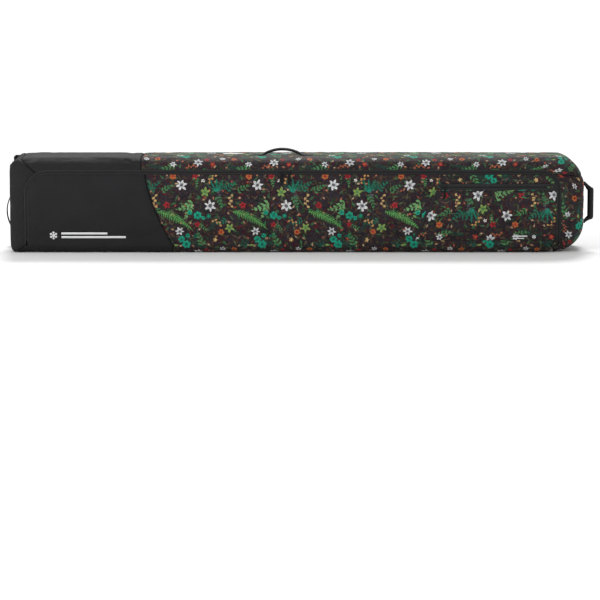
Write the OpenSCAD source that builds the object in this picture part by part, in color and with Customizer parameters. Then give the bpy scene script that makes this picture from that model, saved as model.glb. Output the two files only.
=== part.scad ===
// Wheeled snowboard bag standing on its long side.
// X runs from the wheel end (-X) to the nose (+X), the lid faces -Y, the wheels and rails face +Y.

/* [Bag] */
// Length of the bag's body
bag_l = 1750; // [1500:10:1950]
// Height of the body as it stands, which is its width in use
bag_h = 287; // [270:1:320]
// Depth of the body from lid to back
bag_d = 222; // [210:1:260]
// Radius of the two corners at the nose
nose_r = 90; // [70:1:100]
// Radius of the two corners at the wheel end
end_r = 36; // [35:1:45]
// Roundover between the gusset and the lid
front_r = 34; // [28:1:34]
// Where the black cloth ends and the printed cloth begins, on the gusset
print_x = -478; // [-560:1:-400]
// Seam between the back panel and the tough base panel
base_seam_x = -291; // [-340:1:-250]

/* [Cloth and foam] */
// Thickness of the outer cloth
skin_t = 1.6; // [1:0.1:2]
// Thickness of the padding
foam_t = 6; // [4:0.5:6]
// Thickness of the lining
lining_t = 0.8; // [0.5:0.1:1]
// Thickness of the stiff board behind the base panel
board_t = 2; // [1.5:0.1:2]

/* [Main zip] */
// Distance from the body's top down to the zip's centre
zip_top = 40; // [36:1:60]
// Distance from the wheel end to the zip's centre
zip_end = 49; // [48:1:80]
// Distance from the nose to the zip's centre
zip_nose = 82; // [60:1:110]
// Width of each tape
tape_w = 9; // [7:0.5:10]
// Width of each row of coil
coil_w = 2; // [1.5:0.1:2.5]
// How far a pull hangs below its slider
pull_l = 38; // [30:1:38]

/* [Pocket] */
// Height of the pocket zip's centre
pocket_z = 201; // [180:1:205]
// Left end of the pocket zip
pocket_x0 = 431; // [380:1:480]
// Right end of the pocket zip
pocket_x1 = 755; // [700:1:760]

/* [Wheels] */
// Diameter of a wheel
wheel_d = 76; // [70:1:76]
// Width of a tyre
wheel_w = 30; // [26:1:30]
// Distance between the two wheels' middles
wheel_track = 190; // [180:1:190]
// Distance from the wheel end in to the axles
axle_in = 19; // [17:1:24]
// How far a wheel stands out behind the back panel
wheel_proud = 14; // [10:1:14]
// Radius of an axle
axle_r = 4; // [3:0.5:5]

/* [Rails] */
// Distance between the two skid rails' middles
rail_track = 100; // [80:1:110]
// Length of a rail
rail_l = 403; // [360:1:420]
// Width of a rail
rail_w = 15; // [12:1:16]
// Height of a rail
rail_h = 9; // [6:1:9]

/* [Handles] */
// Span of the webbing handle on the gusset
side_span = 138; // [120:1:150]
// Rise of the webbing handle on the gusset
side_rise = 23; // [18:1:26]
// Span of the webbing handle at the wheel end
grab_span = 120; // [100:1:130]
// Rise of the webbing handle at the wheel end
grab_rise = 15; // [12:1:17]
// Radius of the tow handle's grip
grip_r = 9.5; // [8:0.5:10]
// How far the tow handle stands out of the nose
tow_out = 34; // [30:1:40]

/* [Hidden] */
$fn = 48;

// Body
x_end = -bag_l / 2;
x_nose = bag_l / 2;
y_lid = -bag_d / 2;
y_back = bag_d / 2;
gap = 0.2;
far = 2000;
x_end_r = x_end + end_r;
x_nose_r = x_nose - nose_r;
y_tan = y_lid + front_r;

// Layers, as distances in from the outside
foam_0 = skin_t + gap;
foam_1 = foam_0 + foam_t;
lining_0 = foam_1 + gap;
lining_1 = lining_0 + lining_t;
y_skin = y_back - skin_t;
y_board = y_skin - gap - board_t;
y_foam = y_board - gap - foam_t;
y_lining = y_foam - gap - lining_t;

// Main zip
zip_z = bag_h - zip_top;
zip_x0 = x_end + zip_end;
zip_x1 = x_nose - zip_nose;
zip_r0 = 65;
zip_r1 = 55;
coil_0 = gap / 2;
coil_1 = coil_0 + coil_w;
tape_1 = coil_1 + tape_w;
tape_y = y_lid + 0.4;
tape_t = 0.8;
coil_y = y_lid - 0.8;
coil_t = 2;
hinge_z = front_r;
lid_z = hinge_z + gap;
foam_in = tape_1 + 3;
print_step = 13;
print_sweep = 107;
print_bend = 1.7;

// Sliders and pulls
slider_y = coil_y - gap;
slider_t = 3;
slider_w = 9;
slider_h = 13;
slider_left_x = -52;
slider_right_x = -28;
ear_d = 3;
ear_t = 1.4;
ear_h = 4;
pin_y = 1.5;
pull_t = 2.4;
pull_w = 8;
pin_r = 0.9;
pin_fit = 0.06;
pocket_slider_x = pocket_x0 + 14;
pocket_coil_y = y_lid - skin_t - gap;
pocket_pull_l = 34;
slant = 83;

// Wheels and housings
wheel_r = wheel_d / 2;
wheel_x = x_end + axle_in;
wheel_y = y_back + wheel_proud - wheel_r;
wheel_z = [bag_h / 2 - wheel_track / 2, bag_h / 2 + wheel_track / 2];
rim_r = wheel_r - 11;
bearing_r = 11;
bearing_w = 7;
hub_half = 12;
well_r = wheel_r + 3;
well_half = wheel_w / 2 + 2.5;
well_wall = 3;
well_x = wheel_x + well_r + well_wall;
well_y = wheel_y - well_r - well_wall;
cut_half = 24;
flange_t = 3;
flange_half = 40;
flange_x = -786;
tongue_x = -684;
tongue_half = 26;
tongue_tip = 14;
end_wrap_y = 58;
ridge_x = -724;
ridge_half = 13;
ridge_h = 5;
axle_fit = 0.05;
shoulder_r = axle_r + 2.5;
shank_r = 1.9;
head_r = 3.8;
head_t = 2;
housing_spots = [[-700, 0], [-800, 31], [-800, -31], [-846, 31], [-846, -31]];

// Rails
rail_x0 = -755;
rail_x1 = rail_x0 + rail_l;
rail_z = [bag_h / 2 - rail_track / 2, bag_h / 2 + rail_track / 2];
rail_tip = 30;
rail_tip_w = 21;
rail_spots = [-725, -555, -387];
rail_sink = 3;
washer = 12;
washer_t = 2;
y_washer = y_board - gap - washer_t;

// Handles
side_x = -48;
side_t = 6;
side_half = 9;
foot_half = 5;
side_foot = 3.2;
side_r = (side_span * side_span / 4 + side_rise * side_rise) / (2 * side_rise);
grab_z = 117;
grab_t = 3.5;
grab_half = 12.5;
grab_foot = 2.6;
grab_r = (grab_span * grab_span / 4 + grab_rise * grab_rise) / (2 * grab_rise);
patch_l = 34;
patch_half = 19;
patch_t = 2;
tow_x = x_nose + 7;
tow_z = [83, 203];
tow_arm_r = 6;
tow_core_r = 3;
core_fit = 0.08;
tow_eye = 7;
grip_x = x_nose + tow_out - grip_r;
grip_z = [99, 181];

// Straps inside
strap_x = [-350, 350];
strap_w = 25;
strap_t = 1.6;
strap_z = [[20, 128], [152, 262]];
buckle_w = 34;
buckle_z = 112;
socket_h = 30;
socket_t = 9;
plug_h = 16;
prong_h = 20;

// The origin is under the middle of the overall box
x_low = wheel_x - wheel_r;
x_high = x_nose + tow_out;
y_low = pocket_coil_y - gap - slider_t - ear_d;
y_high = y_back + wheel_proud;
origin = [-(x_low + x_high) / 2, -(y_low + y_high) / 2, 0];

black = [0.16, 0.16, 0.17];
print = [0.20, 0.30, 0.22];
foam_grey = [0.72, 0.72, 0.74];
lining_grey = [0.34, 0.34, 0.36];
zip_black = [0.09, 0.09, 0.10];
plastic = [0.24, 0.24, 0.25];
steel = [0.66, 0.67, 0.69];

module placed() {
    translate(origin) children();
}

// Lifts a drawing in X and Z into a slab between two depths
module slab(y0, y1) {
    rotate([90, 0, 0]) translate([0, 0, -y1]) linear_extrude(y1 - y0) children();
}

// Takes a drawing in Y and Z along X
module along_x(x0, x1) {
    translate([x0, 0, 0]) rotate([90, 0, 90]) linear_extrude(x1 - x0) children();
}

module block(low, high) {
    translate(low) cube(high - low);
}

// The bag's outline seen from the front, drawn in by a distance
module outline(inset) {
    for (z = [end_r, bag_h - end_r]) translate([x_end_r, z]) circle(end_r - inset);
    for (z = [nose_r, bag_h - nose_r]) translate([x_nose_r, z]) circle(nose_r - inset);
    polygon([[x_end + inset, end_r], [x_end_r, inset], [x_nose_r, inset], [x_nose - inset, nose_r],
        [x_nose - inset, bag_h - nose_r], [x_nose_r, bag_h - inset], [x_end_r, bag_h - inset],
        [x_end + inset, bag_h - end_r]]);
}

// The arch inside the main zip's centre line, grown by a distance, down to the hinge
module lid_arch(grow, z0 = lid_z) {
    top = zip_z + grow;
    translate([zip_x0 + zip_r0, zip_z - zip_r0]) circle(zip_r0 + grow);
    translate([zip_x1 - zip_r1, zip_z - zip_r1]) circle(zip_r1 + grow);
    polygon([[zip_x0 - grow, z0], [zip_x1 + grow, z0], [zip_x1 + grow, zip_z - zip_r1],
        [zip_x1 - zip_r1, top], [zip_x0 + zip_r0, top], [zip_x0 - grow, zip_z - zip_r0]]);
}

// A band that follows the main zip
module zip_band(grow_0, grow_1) {
    difference() {
        lid_arch(grow_1);
        lid_arch(grow_0, lid_z - 1);
    }
}

// Cross-section of one layer in Y and distance from the middle: flat gusset, then the roundover
module layer_section(r, t0, t1, y1, flat = true, bend = true) {
    if (flat) translate([y_tan, r - t1]) square([y1 - y_tan, t1 - t0]);
    if (bend) intersection() {
        translate([y_tan, r - front_r]) difference() {
            circle(front_r - t0);
            circle(front_r - t1);
        }
        translate([y_tan - front_r, r - front_r]) square(front_r);
    }
}

module top_layer(x0, x1, t0, t1, y1) {
    along_x(x0, x1) translate([0, bag_h]) layer_section(0, t0, t1, y1);
}

module bottom_layer(x0, x1, t0, t1, y1) {
    along_x(x0, x1) mirror([0, 1]) layer_section(0, t0, t1, y1);
}

// A quarter turn of the section round one corner of the outline
module corner_layer(x, z, r, turn, t0, t1, y1, flat = true, bend = true) {
    translate([x, 0, z]) rotate([90, 0, 0]) rotate(turn) rotate_extrude(angle = 90)
        rotate(-90) layer_section(r, t0, t1, y1, flat, bend);
}

// A straight run of the section up an end; the wheel end is its mirror image
module upright_layer(r, t0, t1, y1, flat = true, bend = true) {
    translate([0, 0, r]) linear_extrude(bag_h - 2 * r) mirror([1, -1])
        layer_section(0, t0, t1, y1, flat, bend);
}

module nose_layer(t0, t1, y1, flat = true, bend = true) {
    corner_layer(x_nose_r, bag_h - nose_r, nose_r, 0, t0, t1, y1, flat, bend);
    corner_layer(x_nose_r, nose_r, nose_r, 270, t0, t1, y1, flat, bend);
    translate([x_nose, 0, 0]) upright_layer(nose_r, t0, t1, y1, flat, bend);
}

module wheel_end_layer(t0, t1, y1) {
    corner_layer(x_end_r, bag_h - end_r, end_r, 90, t0, t1, y1);
    corner_layer(x_end_r, end_r, end_r, 180, t0, t1, y1);
    translate([x_end, 0, 0]) mirror([1, 0, 0]) upright_layer(end_r, t0, t1, y1);
}

// The flat border between the roundover and the main zip, for one stretch of X and Z
module border(t0, t1, x0, x1, z0, z1) {
    slab(y_lid + t0, y_lid + t1) intersection() {
        difference() {
            outline(front_r);
            lid_arch(tape_1 + gap, -1);
        }
        translate([x0, z0]) square([x1 - x0, z1 - z0]);
    }
}

// Pockets in the cloth, foam and lining for the two wheel housings
module well_cuts() {
    for (z = wheel_z)
        block([x_end - 50, well_y - gap, z - cut_half], [well_x + gap, y_back + 50, z + cut_half]);
}

// A round bar along Y
module drill(x, z, r, y0, y1) {
    translate([x, y0, z]) rotate([-90, 0, 0]) cylinder(r = r, h = y1 - y0);
}

module cross_holes(r, y0, y1) {
    for (z = wheel_z, s = housing_spots) drill(s[0], z + s[1], r, y0, y1);
    for (z = rail_z, x = rail_spots) drill(x, z, r, y0, y1);
}

module back_panel() {
    color(black) placed() slab(y_skin, y_back) intersection() {
        outline(0);
        translate([base_seam_x + gap, 0]) square([far, bag_h]);
    }
}

module base_panel() {
    color(black) placed() difference() {
        slab(y_skin, y_back) intersection() {
            outline(0);
            translate([-far, 0]) square([far + base_seam_x, bag_h]);
        }
        well_cuts();
        cross_holes(shank_r + gap, y_skin - 1, y_back + 1);
    }
}

// Clears the cloth where the main zip's tape lies
module clear_of_zip() {
    difference() {
        children();
        slab(y_lid - 1, y_lid + 2 * skin_t) lid_arch(tape_1 + gap);
    }
}

module top_gusset(x0, x1) {
    clear_of_zip() {
        top_layer(x0, x1, 0, skin_t, y_skin - gap);
        border(0, skin_t, x0, x1, zip_z - zip_r0, bag_h);
    }
}

module top_gusset_print() {
    color(print) placed() top_gusset(print_x + gap, x_nose_r);
}

module top_gusset_black() {
    color(black) placed() top_gusset(x_end_r, print_x);
}

module nose_gusset() {
    color(print) placed() translate([gap, 0, 0]) nose_layer(0, skin_t, y_skin - gap, bend = false);
}

module nose_rim_panel() {
    color(print) placed() clear_of_zip() translate([gap, 0, 0]) {
        translate([0, -gap, 0]) nose_layer(0, skin_t, y_tan, flat = false);
        border(0, skin_t, x_nose_r, x_nose, 0, bag_h);
    }
}

module bottom_gusset_print() {
    color(print) placed() bottom_layer(print_x + gap, x_nose_r, 0, skin_t, y_skin - gap);
}

module bottom_gusset_black() {
    color(black) placed() bottom_layer(x_end_r, print_x, 0, skin_t, y_skin - gap);
}

module wheel_end_gusset() {
    color(black) placed() translate([-gap, 0, 0]) difference() {
        union() {
            wheel_end_layer(0, skin_t, y_skin - gap);
            border(0, skin_t, x_end, x_end_r, 0, bag_h);
        }
        well_cuts();
    }
}

module back_foam() {
    color(foam_grey) placed() difference() {
        slab(y_foam, y_foam + foam_t) outline(lining_0);
        well_cuts();
        washers(gap);
    }
}

module top_foam() {
    color(foam_grey) placed() {
        top_layer(x_end_r, x_nose_r, foam_0, foam_1, y_skin - gap);
        border(foam_0, foam_1, x_end_r, x_nose_r, zip_z - zip_r0, bag_h);
    }
}

module bottom_foam() {
    color(foam_grey) placed() bottom_layer(x_end_r, x_nose_r, foam_0, foam_1, y_skin - gap);
}

module nose_foam() {
    color(foam_grey) placed() translate([gap, 0, 0]) {
        nose_layer(foam_0 + gap, foam_1, y_skin - gap);
        border(foam_0 + gap, foam_1, x_nose_r, x_nose, 0, bag_h);
    }
}

module wheel_end_foam() {
    color(foam_grey) placed() translate([-gap, 0, 0]) difference() {
        union() {
            wheel_end_layer(foam_0 + gap, foam_1, y_skin - gap);
            border(foam_0 + gap, foam_1, x_end, x_end_r, 0, bag_h);
        }
        well_cuts();
    }
}

module body_lining() {
    color(lining_grey) placed() difference() {
        union() {
            top_layer(x_end_r, x_nose_r, lining_0, lining_1, y_foam - gap);
            bottom_layer(x_end_r, x_nose_r, lining_0, lining_1, y_foam - gap);
            nose_layer(lining_0, lining_1, y_foam - gap);
            wheel_end_layer(lining_0, lining_1, y_foam - gap);
            border(lining_0, lining_1, x_end, x_nose, 0, bag_h);
            slab(y_lining, y_lining + lining_t) outline(lining_0);
        }
        well_cuts();
    }
}

module base_board() {
    color(zip_black) placed() difference() {
        slab(y_board, y_board + board_t) intersection() {
            outline(lining_0);
            translate([-far, 0]) square([far + base_seam_x, bag_h]);
        }
        well_cuts();
        cross_holes(shank_r + gap, y_board - 1, y_skin + 1);
    }
}

module body_zip_tape() {
    color(zip_black) placed() slab(tape_y, tape_y + tape_t) zip_band(coil_1, tape_1);
}

module body_zip_coil() {
    color(zip_black) placed() slab(coil_y, coil_y + coil_t) zip_band(coil_0, coil_1 - 0.05);
}

module lid_zip_tape() {
    color(zip_black) placed() slab(tape_y, tape_y + tape_t) zip_band(-tape_1, -coil_1);
}

module lid_zip_coil() {
    color(zip_black) placed() slab(coil_y, coil_y + coil_t) intersection() {
        zip_band(0.05 - coil_1, -coil_0);
        translate([-far, lid_z + 2]) square([2 * far, bag_h]);
    }
}

// The slanted edge between black and print sweeps forward towards the bottom of the lid
function print_edge(z) = let (top = bag_h - front_r)
    print_x + print_step + print_sweep * pow((top - z) / top, print_bend);

module lid_black_side(shift) {
    steps = 16;
    polygon(concat([[-far, bag_h], [-far, 0]],
        [for (i = [0:steps]) let (z = bag_h * i / steps) [print_edge(min(z, bag_h - front_r)) + shift, z]]));
}

module lid_panel_print() {
    color(print) placed() slab(y_lid, y_lid + skin_t) difference() {
        lid_arch(-tape_1 - gap);
        lid_black_side(gap);
    }
}

module lid_panel_black() {
    color(black) placed() slab(y_lid, y_lid + skin_t) intersection() {
        lid_arch(-tape_1 - gap);
        lid_black_side(0);
    }
}

module lid_foam() {
    color(foam_grey) placed() slab(y_lid + foam_0, y_lid + foam_1) lid_arch(-foam_in);
}

module lid_lining() {
    color(lining_grey) placed() slab(y_lid + lining_0, y_lid + lining_1) lid_arch(-foam_in);
}

// The pocket's cloth lies over the lid, below its zip and right of a slanted seam
module pocket_panel() {
    color(print) placed() slab(pocket_coil_y, y_lid - gap) intersection() {
        lid_arch(-tape_1 - gap);
        polygon([[pocket_x0 - slant, lid_z + 4], [pocket_x0 - 6, pocket_z - tape_1], [far, pocket_z - tape_1],
            [far, lid_z + 4]]);
    }
}

module pocket_band(z0, z1) {
    translate([pocket_x0, pocket_z + z0]) square([pocket_x1 - pocket_x0, z1 - z0]);
}

module pocket_zip_tape() {
    color(zip_black) placed() slab(pocket_coil_y + tape_t, y_lid - gap) {
        pocket_band(-tape_1 + gap, -coil_1);
        pocket_band(coil_1, tape_1);
    }
}

module pocket_zip_coil() {
    color(zip_black) placed() slab(pocket_coil_y, y_lid - gap) pocket_band(0.1 - coil_1, coil_1 - 0.1);
}

// A slider's plate rides in front of the coil, with two ears that hold the pull's pin
module slider(x, y, z) {
    translate([x, 0, z]) {
        block([-slider_w / 2, y - slider_t, -slider_h / 2], [slider_w / 2, y, slider_h / 2]);
        for (side = [-1, 1]) difference() {
            translate([side * (slider_w - ear_t) / 2, y - slider_t - ear_d / 2, 0])
                cube([ear_t, ear_d, ear_h], center = true);
            translate([-slider_w, y - slider_t - pin_y, 0]) rotate([0, 90, 0])
                cylinder(r = pin_r + pin_fit, h = 2 * slider_w);
        }
    }
}

// A pull is a pin, a flat neck and a moulded tab hanging below it
module pull(x, y, z, drop) {
    neck = slider_w - 2 * ear_t - 0.6;
    neck_l = drop * 0.4;
    end_z = pull_w / 2 - drop;
    translate([x, y - slider_t - pin_y, z]) {
        rotate([0, 90, 0]) cylinder(r = pin_r, h = slider_w, center = true);
        block([-neck / 2, -pin_r, -neck_l - 1], [neck / 2, pin_r, 0]);
        block([-pull_w / 2, -pull_t / 2, end_z], [pull_w / 2, pull_t / 2, -neck_l]);
        translate([0, 0, end_z]) rotate([90, 0, 0]) cylinder(d = pull_w, h = pull_t, center = true);
    }
}

module main_slider_left() {
    color(plastic) placed() slider(slider_left_x, slider_y, zip_z);
}

module main_slider_right() {
    color(plastic) placed() slider(slider_right_x, slider_y, zip_z);
}

module main_pull_left() {
    color(zip_black) placed() pull(slider_left_x, slider_y, zip_z, pull_l);
}

module main_pull_right() {
    color(zip_black) placed() pull(slider_right_x, slider_y, zip_z, pull_l);
}

module pocket_slider() {
    color(plastic) placed() slider(pocket_slider_x, pocket_coil_y - gap, pocket_z);
}

module pocket_pull() {
    color(zip_black) placed() pull(pocket_slider_x, pocket_coil_y - gap, pocket_z, pocket_pull_l);
}

// A skid rail: a ridge with flared tips that slope down to the cloth
module rail(z) {
    half = rail_w / 2;
    tip = rail_tip_w / 2;
    slope = rail_tip * 0.8;
    top = y_back + rail_h;
    difference() {
        intersection() {
            slab(y_back + gap, top) translate([0, z]) for (side = [0, 1]) mirror([0, side]) polygon([
                [rail_x0, -tip], [rail_x0 + rail_tip - 9, -tip], [rail_x0 + rail_tip, -half],
                [rail_x1 - rail_tip, -half], [rail_x1 - rail_tip + 9, -tip], [rail_x1, -tip],
                [rail_x1, 0], [rail_x0, 0]]);
            linear_extrude(bag_h) polygon([[rail_x0, y_back], [rail_x0, y_back + 2], [rail_x0 + slope, top],
                [rail_x1 - slope, top], [rail_x1, y_back + 2], [rail_x1, y_back]]);
        }
        for (x = rail_spots) translate([x, 0, z]) rotate([-90, 0, 0]) {
            cylinder(r = shank_r + gap, h = y_back + 20);
            translate([0, 0, y_back + rail_h - rail_sink]) cylinder(r = head_r + gap, h = 10);
        }
    }
}

module rail_upper() {
    color(plastic) placed() rail(rail_z[1]);
}

module rail_lower() {
    color(plastic) placed() rail(rail_z[0]);
}

module screw(x, z, y_seat) {
    translate([x, 0, z]) rotate([-90, 0, 0]) {
        translate([0, 0, y_washer]) cylinder(r = shank_r, h = y_seat - y_washer + 0.5);
        difference() {
            translate([0, 0, y_seat]) cylinder(r = head_r, h = head_t);
            translate([0, 0, y_seat + 0.8]) linear_extrude(head_t) square([5, 1], center = true);
            translate([0, 0, y_seat + 0.8]) linear_extrude(head_t) square([1, 5], center = true);
        }
    }
}

module rail_screws() {
    color(steel) placed() for (z = rail_z, x = rail_spots) screw(x, z, y_back + rail_h - rail_sink);
}

module housing_screws() {
    color(steel) placed() for (z = wheel_z, s = housing_spots) screw(s[0], z + s[1], y_back + flange_t);
}

module washers(grow) {
    half = washer / 2 + grow;
    module pad(x, z) {
        block([x - half, y_washer - grow, z - half], [x + half, y_washer + washer_t + grow, z + half]);
    }
    for (z = wheel_z, s = housing_spots) pad(s[0], z + s[1]);
    for (z = rail_z, x = rail_spots) pad(x, z);
}

module backing_washers() {
    color(steel) placed() difference() {
        washers(0);
        cross_holes(shank_r + 0.05, y_board - 10, y_board + 10);
    }
}

// A wheel housing: a cup let into the corner, a flange and tongue on the back, a ribbed ridge and an end wrap
module wheel_housing(z) {
    x0 = x_end - gap - flange_t;
    y1 = y_back + flange_t;
    cup_half = well_half + well_wall;
    difference() {
        union() {
            block([x0, well_y, z - cup_half], [well_x, y1, z + cup_half]);
            slab(y_back + gap, y1) translate([0, z]) for (side = [0, 1]) mirror([0, side]) polygon([
                [x0, -flange_half], [flange_x - 14, -flange_half], [flange_x, -tongue_half],
                [tongue_x + 12, -tongue_tip], [tongue_x, -6], [tongue_x, 0], [x0, 0]]);
            block([x0, end_wrap_y, z - flange_half], [x_end - 2 * gap, y1, z + flange_half]);
            block([well_x - 12, y_back + 1, z - ridge_half + 3],
                [ridge_x + 4, y1 + ridge_h - 2, z + ridge_half - 3]);
            for (x = [well_x - 8 : 6 : ridge_x])
                block([x, y_back + 1, z - ridge_half], [x + 3, y1 + ridge_h, z + ridge_half]);
        }
        translate([wheel_x, wheel_y, z]) {
            cylinder(r = well_r, h = 2 * well_half, center = true);
            block([-2 * well_r, -well_r, -well_half], [0, 2 * well_r, well_half]);
            block([-2 * well_r, 0, -well_half], [well_r, 2 * well_r, well_half]);
            cylinder(r = axle_r + axle_fit, h = 4 * cut_half, center = true);
        }
        for (s = housing_spots) drill(s[0], z + s[1], shank_r + gap, y_back - 5, y1 + 5);
    }
}

module wheel_housing_upper() {
    color(plastic) placed() wheel_housing(wheel_z[1]);
}

module wheel_housing_lower() {
    color(plastic) placed() wheel_housing(wheel_z[0]);
}

// An axle with two spacers that centre the wheel and a head on each end
module axle(z) {
    wall = well_half + well_wall;
    translate([wheel_x, wheel_y, z]) {
        cylinder(r = axle_r, h = 2 * wall + 3, center = true);
        for (side = [-1, 1]) {
            translate([0, 0, side * (hub_half + well_half) / 2])
                cylinder(r = shoulder_r, h = well_half - hub_half - 0.1, center = true);
            translate([0, 0, side * (wall + 1.6)]) cylinder(r = shoulder_r, h = 2.8, center = true);
        }
    }
}

module axle_upper() {
    color(steel) placed() axle(wheel_z[1]);
}

module axle_lower() {
    color(steel) placed() axle(wheel_z[0]);
}

module tyre(z) {
    half = wheel_w / 2;
    translate([wheel_x, wheel_y, z]) rotate_extrude($fn = 96) polygon([
        [rim_r, -hub_half], [wheel_r - 6, -half],
        [wheel_r - 2.5, -half + 1], [wheel_r - 0.6, -half + 4], [wheel_r, -half + 8], [wheel_r, half - 8],
        [wheel_r - 0.6, half - 4], [wheel_r - 2.5, half - 1], [wheel_r - 6, half], [rim_r, hub_half]]);
}

module hub(z) {
    windows = 5;
    translate([wheel_x, wheel_y, z]) difference() {
        cylinder(r = rim_r, h = 2 * hub_half - gap, center = true);
        cylinder(r = axle_r + 2, h = 3 * hub_half, center = true);
        for (side = [-1, 1]) translate([0, 0, side * (hub_half - bearing_w / 2)])
            cylinder(r = bearing_r, h = bearing_w + gap, center = true);
        for (i = [0 : windows - 1]) rotate(i * 360 / windows) translate([(rim_r + bearing_r) / 2 + 0.5, 0, 0])
            cylinder(r = 5.5, h = 3 * hub_half, center = true);
    }
}

module bearings(z) {
    middle = hub_half - gap - bearing_w / 2;
    for (side = [-1, 1]) translate([wheel_x, wheel_y, z + side * middle]) difference() {
        cylinder(r = bearing_r - 0.02, h = bearing_w - gap, center = true);
        cylinder(r = axle_r + axle_fit, h = bearing_w + 1, center = true);
    }
}

module tyre_upper() {
    color(black) placed() tyre(wheel_z[1]);
}

module tyre_lower() {
    color(black) placed() tyre(wheel_z[0]);
}

module hub_upper() {
    color(plastic) placed() hub(wheel_z[1]);
}

module hub_lower() {
    color(plastic) placed() hub(wheel_z[0]);
}

module bearings_upper() {
    color(steel) placed() bearings(wheel_z[1]);
}

module bearings_lower() {
    color(steel) placed() bearings(wheel_z[0]);
}

// The tow handle: a round upright grip, two slanted arms and an eye at each end
module tow_handle() {
    eye_z = [tow_z[0], tow_z[1] - tow_eye];
    arm_z = [tow_z[0] + tow_eye / 2, tow_z[1] - tow_eye / 2];
    color(plastic) placed() difference() {
        union() {
            translate([grip_x, 0, grip_z[0]]) cylinder(r = grip_r, h = grip_z[1] - grip_z[0]);
            for (i = [0, 1]) {
                run = [grip_x - tow_x, 0, grip_z[i] - arm_z[i]];
                translate([grip_x, 0, grip_z[i]]) sphere(grip_r);
                translate([tow_x, 0, arm_z[i]]) rotate([0, atan2(run[0], run[2]), 0])
                    cylinder(r1 = tow_arm_r - 1, r2 = grip_r - 1, h = norm(run));
                translate([tow_x, 0, eye_z[i]]) cylinder(r = tow_arm_r, h = tow_eye);
            }
        }
        for (z = eye_z) translate([tow_x, 0, z - 10]) cylinder(r = tow_core_r + core_fit, h = tow_eye + 20);
    }
}

// Webbing tabs sewn to the nose, with the roll that passes through the tow handle's eyes
module tow_anchors() {
    tab_t = 3;
    clear = 1;
    color(black) placed() difference() {
        union() {
            for (z = [tow_z[0] - tab_t - clear, tow_z[1] + clear])
                block([x_nose_r + 40, -8, z], [tow_x + tow_arm_r, 8, z + tab_t]);
            for (z = [tow_z[0] - clear - 1, tow_z[1] - tow_eye + clear + 1])
                translate([tow_x, 0, z]) cylinder(r = tow_core_r, h = tow_eye);
        }
        slab(-20, 20) outline(-2 * gap);
    }
}

// A webbing arch that narrows to its feet, drawn in X and Z and standing up from z = 0
module arch(span, rise, r, thick, half, foot) {
    intersection() {
        slab(-half, half) difference() {
            translate([0, rise - r]) circle(r);
            translate([0, rise - r]) circle(r - thick);
        }
        translate([0, 0, foot]) linear_extrude(rise) for (side = [0, 1]) mirror([0, side]) polygon([
            [-span / 2, -foot_half], [-span / 2 + 22, -half], [span / 2 - 22, -half],
            [span / 2, -foot_half], [span / 2, 0], [-span / 2, 0]]);
    }
}

module side_handle() {
    color(black) placed() translate([side_x, 0, bag_h])
        arch(side_span, side_rise, side_r, side_t, side_half, side_foot, $fn = 96);
}

module grab_handle() {
    color(black) placed() translate([x_end - gap, 0, grab_z]) rotate([0, -90, 0])
        arch(grab_span, grab_rise, grab_r, grab_t, grab_half, grab_foot, $fn = 96);
}

module handle_anchors() {
    color(black) placed() {
        for (x = [side_x - side_span / 2 - patch_l - 1, side_x + side_span / 2 + 1])
            block([x, -patch_half, bag_h + gap], [x + patch_l, patch_half, bag_h + gap + patch_t]);
        for (z = [grab_z - grab_span / 2 - 30, grab_z + grab_span / 2 + 4])
            block([x_end - 2 * gap - patch_t, -grab_half, z], [x_end - 2 * gap, grab_half, z + 26]);
    }
}

module strap_webbing() {
    color(black) placed() for (x = strap_x, z = strap_z)
        block([x - strap_w / 2, y_lining - gap - strap_t, z[0]], [x + strap_w / 2, y_lining - gap, z[1]]);
}

// Side-release buckles on the compression straps: the socket has a slot, the plug two prongs
module buckle_sockets() {
    y1 = y_lining - 2 * gap - strap_t;
    color(plastic) placed() for (x = strap_x) difference() {
        block([x - buckle_w / 2, y1 - socket_t, buckle_z], [x + buckle_w / 2, y1, buckle_z + socket_h]);
        block([x - buckle_w / 2 + 3, y1 - socket_t + 2, buckle_z + 5],
            [x + buckle_w / 2 - 3, y1 - 2, buckle_z + socket_h + 1]);
    }
}

module buckle_plug(x) {
    y1 = y_lining - 2 * gap - strap_t;
    z0 = buckle_z + socket_h + gap;
    block([x - buckle_w / 2, y1 - socket_t, z0], [x + buckle_w / 2, y1, z0 + plug_h]);
    for (side = [-1, 1])
        block([x + side * 10.5 - 3, y1 - socket_t + 2.3, z0 - prong_h],
            [x + side * 10.5 + 3, y1 - 2.3, z0 + 1]);
}

module buckle_plug_left() {
    color(plastic) placed() buckle_plug(strap_x[0]);
}

module buckle_plug_right() {
    color(plastic) placed() buckle_plug(strap_x[1]);
}

back_panel();
base_panel();
top_gusset_print();
top_gusset_black();
nose_gusset();
nose_rim_panel();
bottom_gusset_print();
bottom_gusset_black();
wheel_end_gusset();
back_foam();
top_foam();
bottom_foam();
nose_foam();
wheel_end_foam();
body_lining();
base_board();
body_zip_tape();
body_zip_coil();
rail_upper();
rail_lower();
rail_screws();
wheel_housing_upper();
wheel_housing_lower();
housing_screws();
backing_washers();
axle_upper();
axle_lower();
tow_anchors();
handle_anchors();
strap_webbing();
buckle_sockets();
lid_panel_print();
lid_panel_black();
lid_foam();
lid_lining();
lid_zip_tape();
lid_zip_coil();
pocket_panel();
pocket_zip_tape();
pocket_zip_coil();
main_slider_left();
main_slider_right();
main_pull_left();
main_pull_right();
pocket_slider();
pocket_pull();
tyre_upper();
hub_upper();
bearings_upper();
tyre_lower();
hub_lower();
bearings_lower();
tow_handle();
side_handle();
grab_handle();
buckle_plug_left();
buckle_plug_right();
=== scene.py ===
import math

import bpy
import numpy as np
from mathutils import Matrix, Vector
from mathutils.bvhtree import BVHTree
from mathutils.kdtree import KDTree


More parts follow.
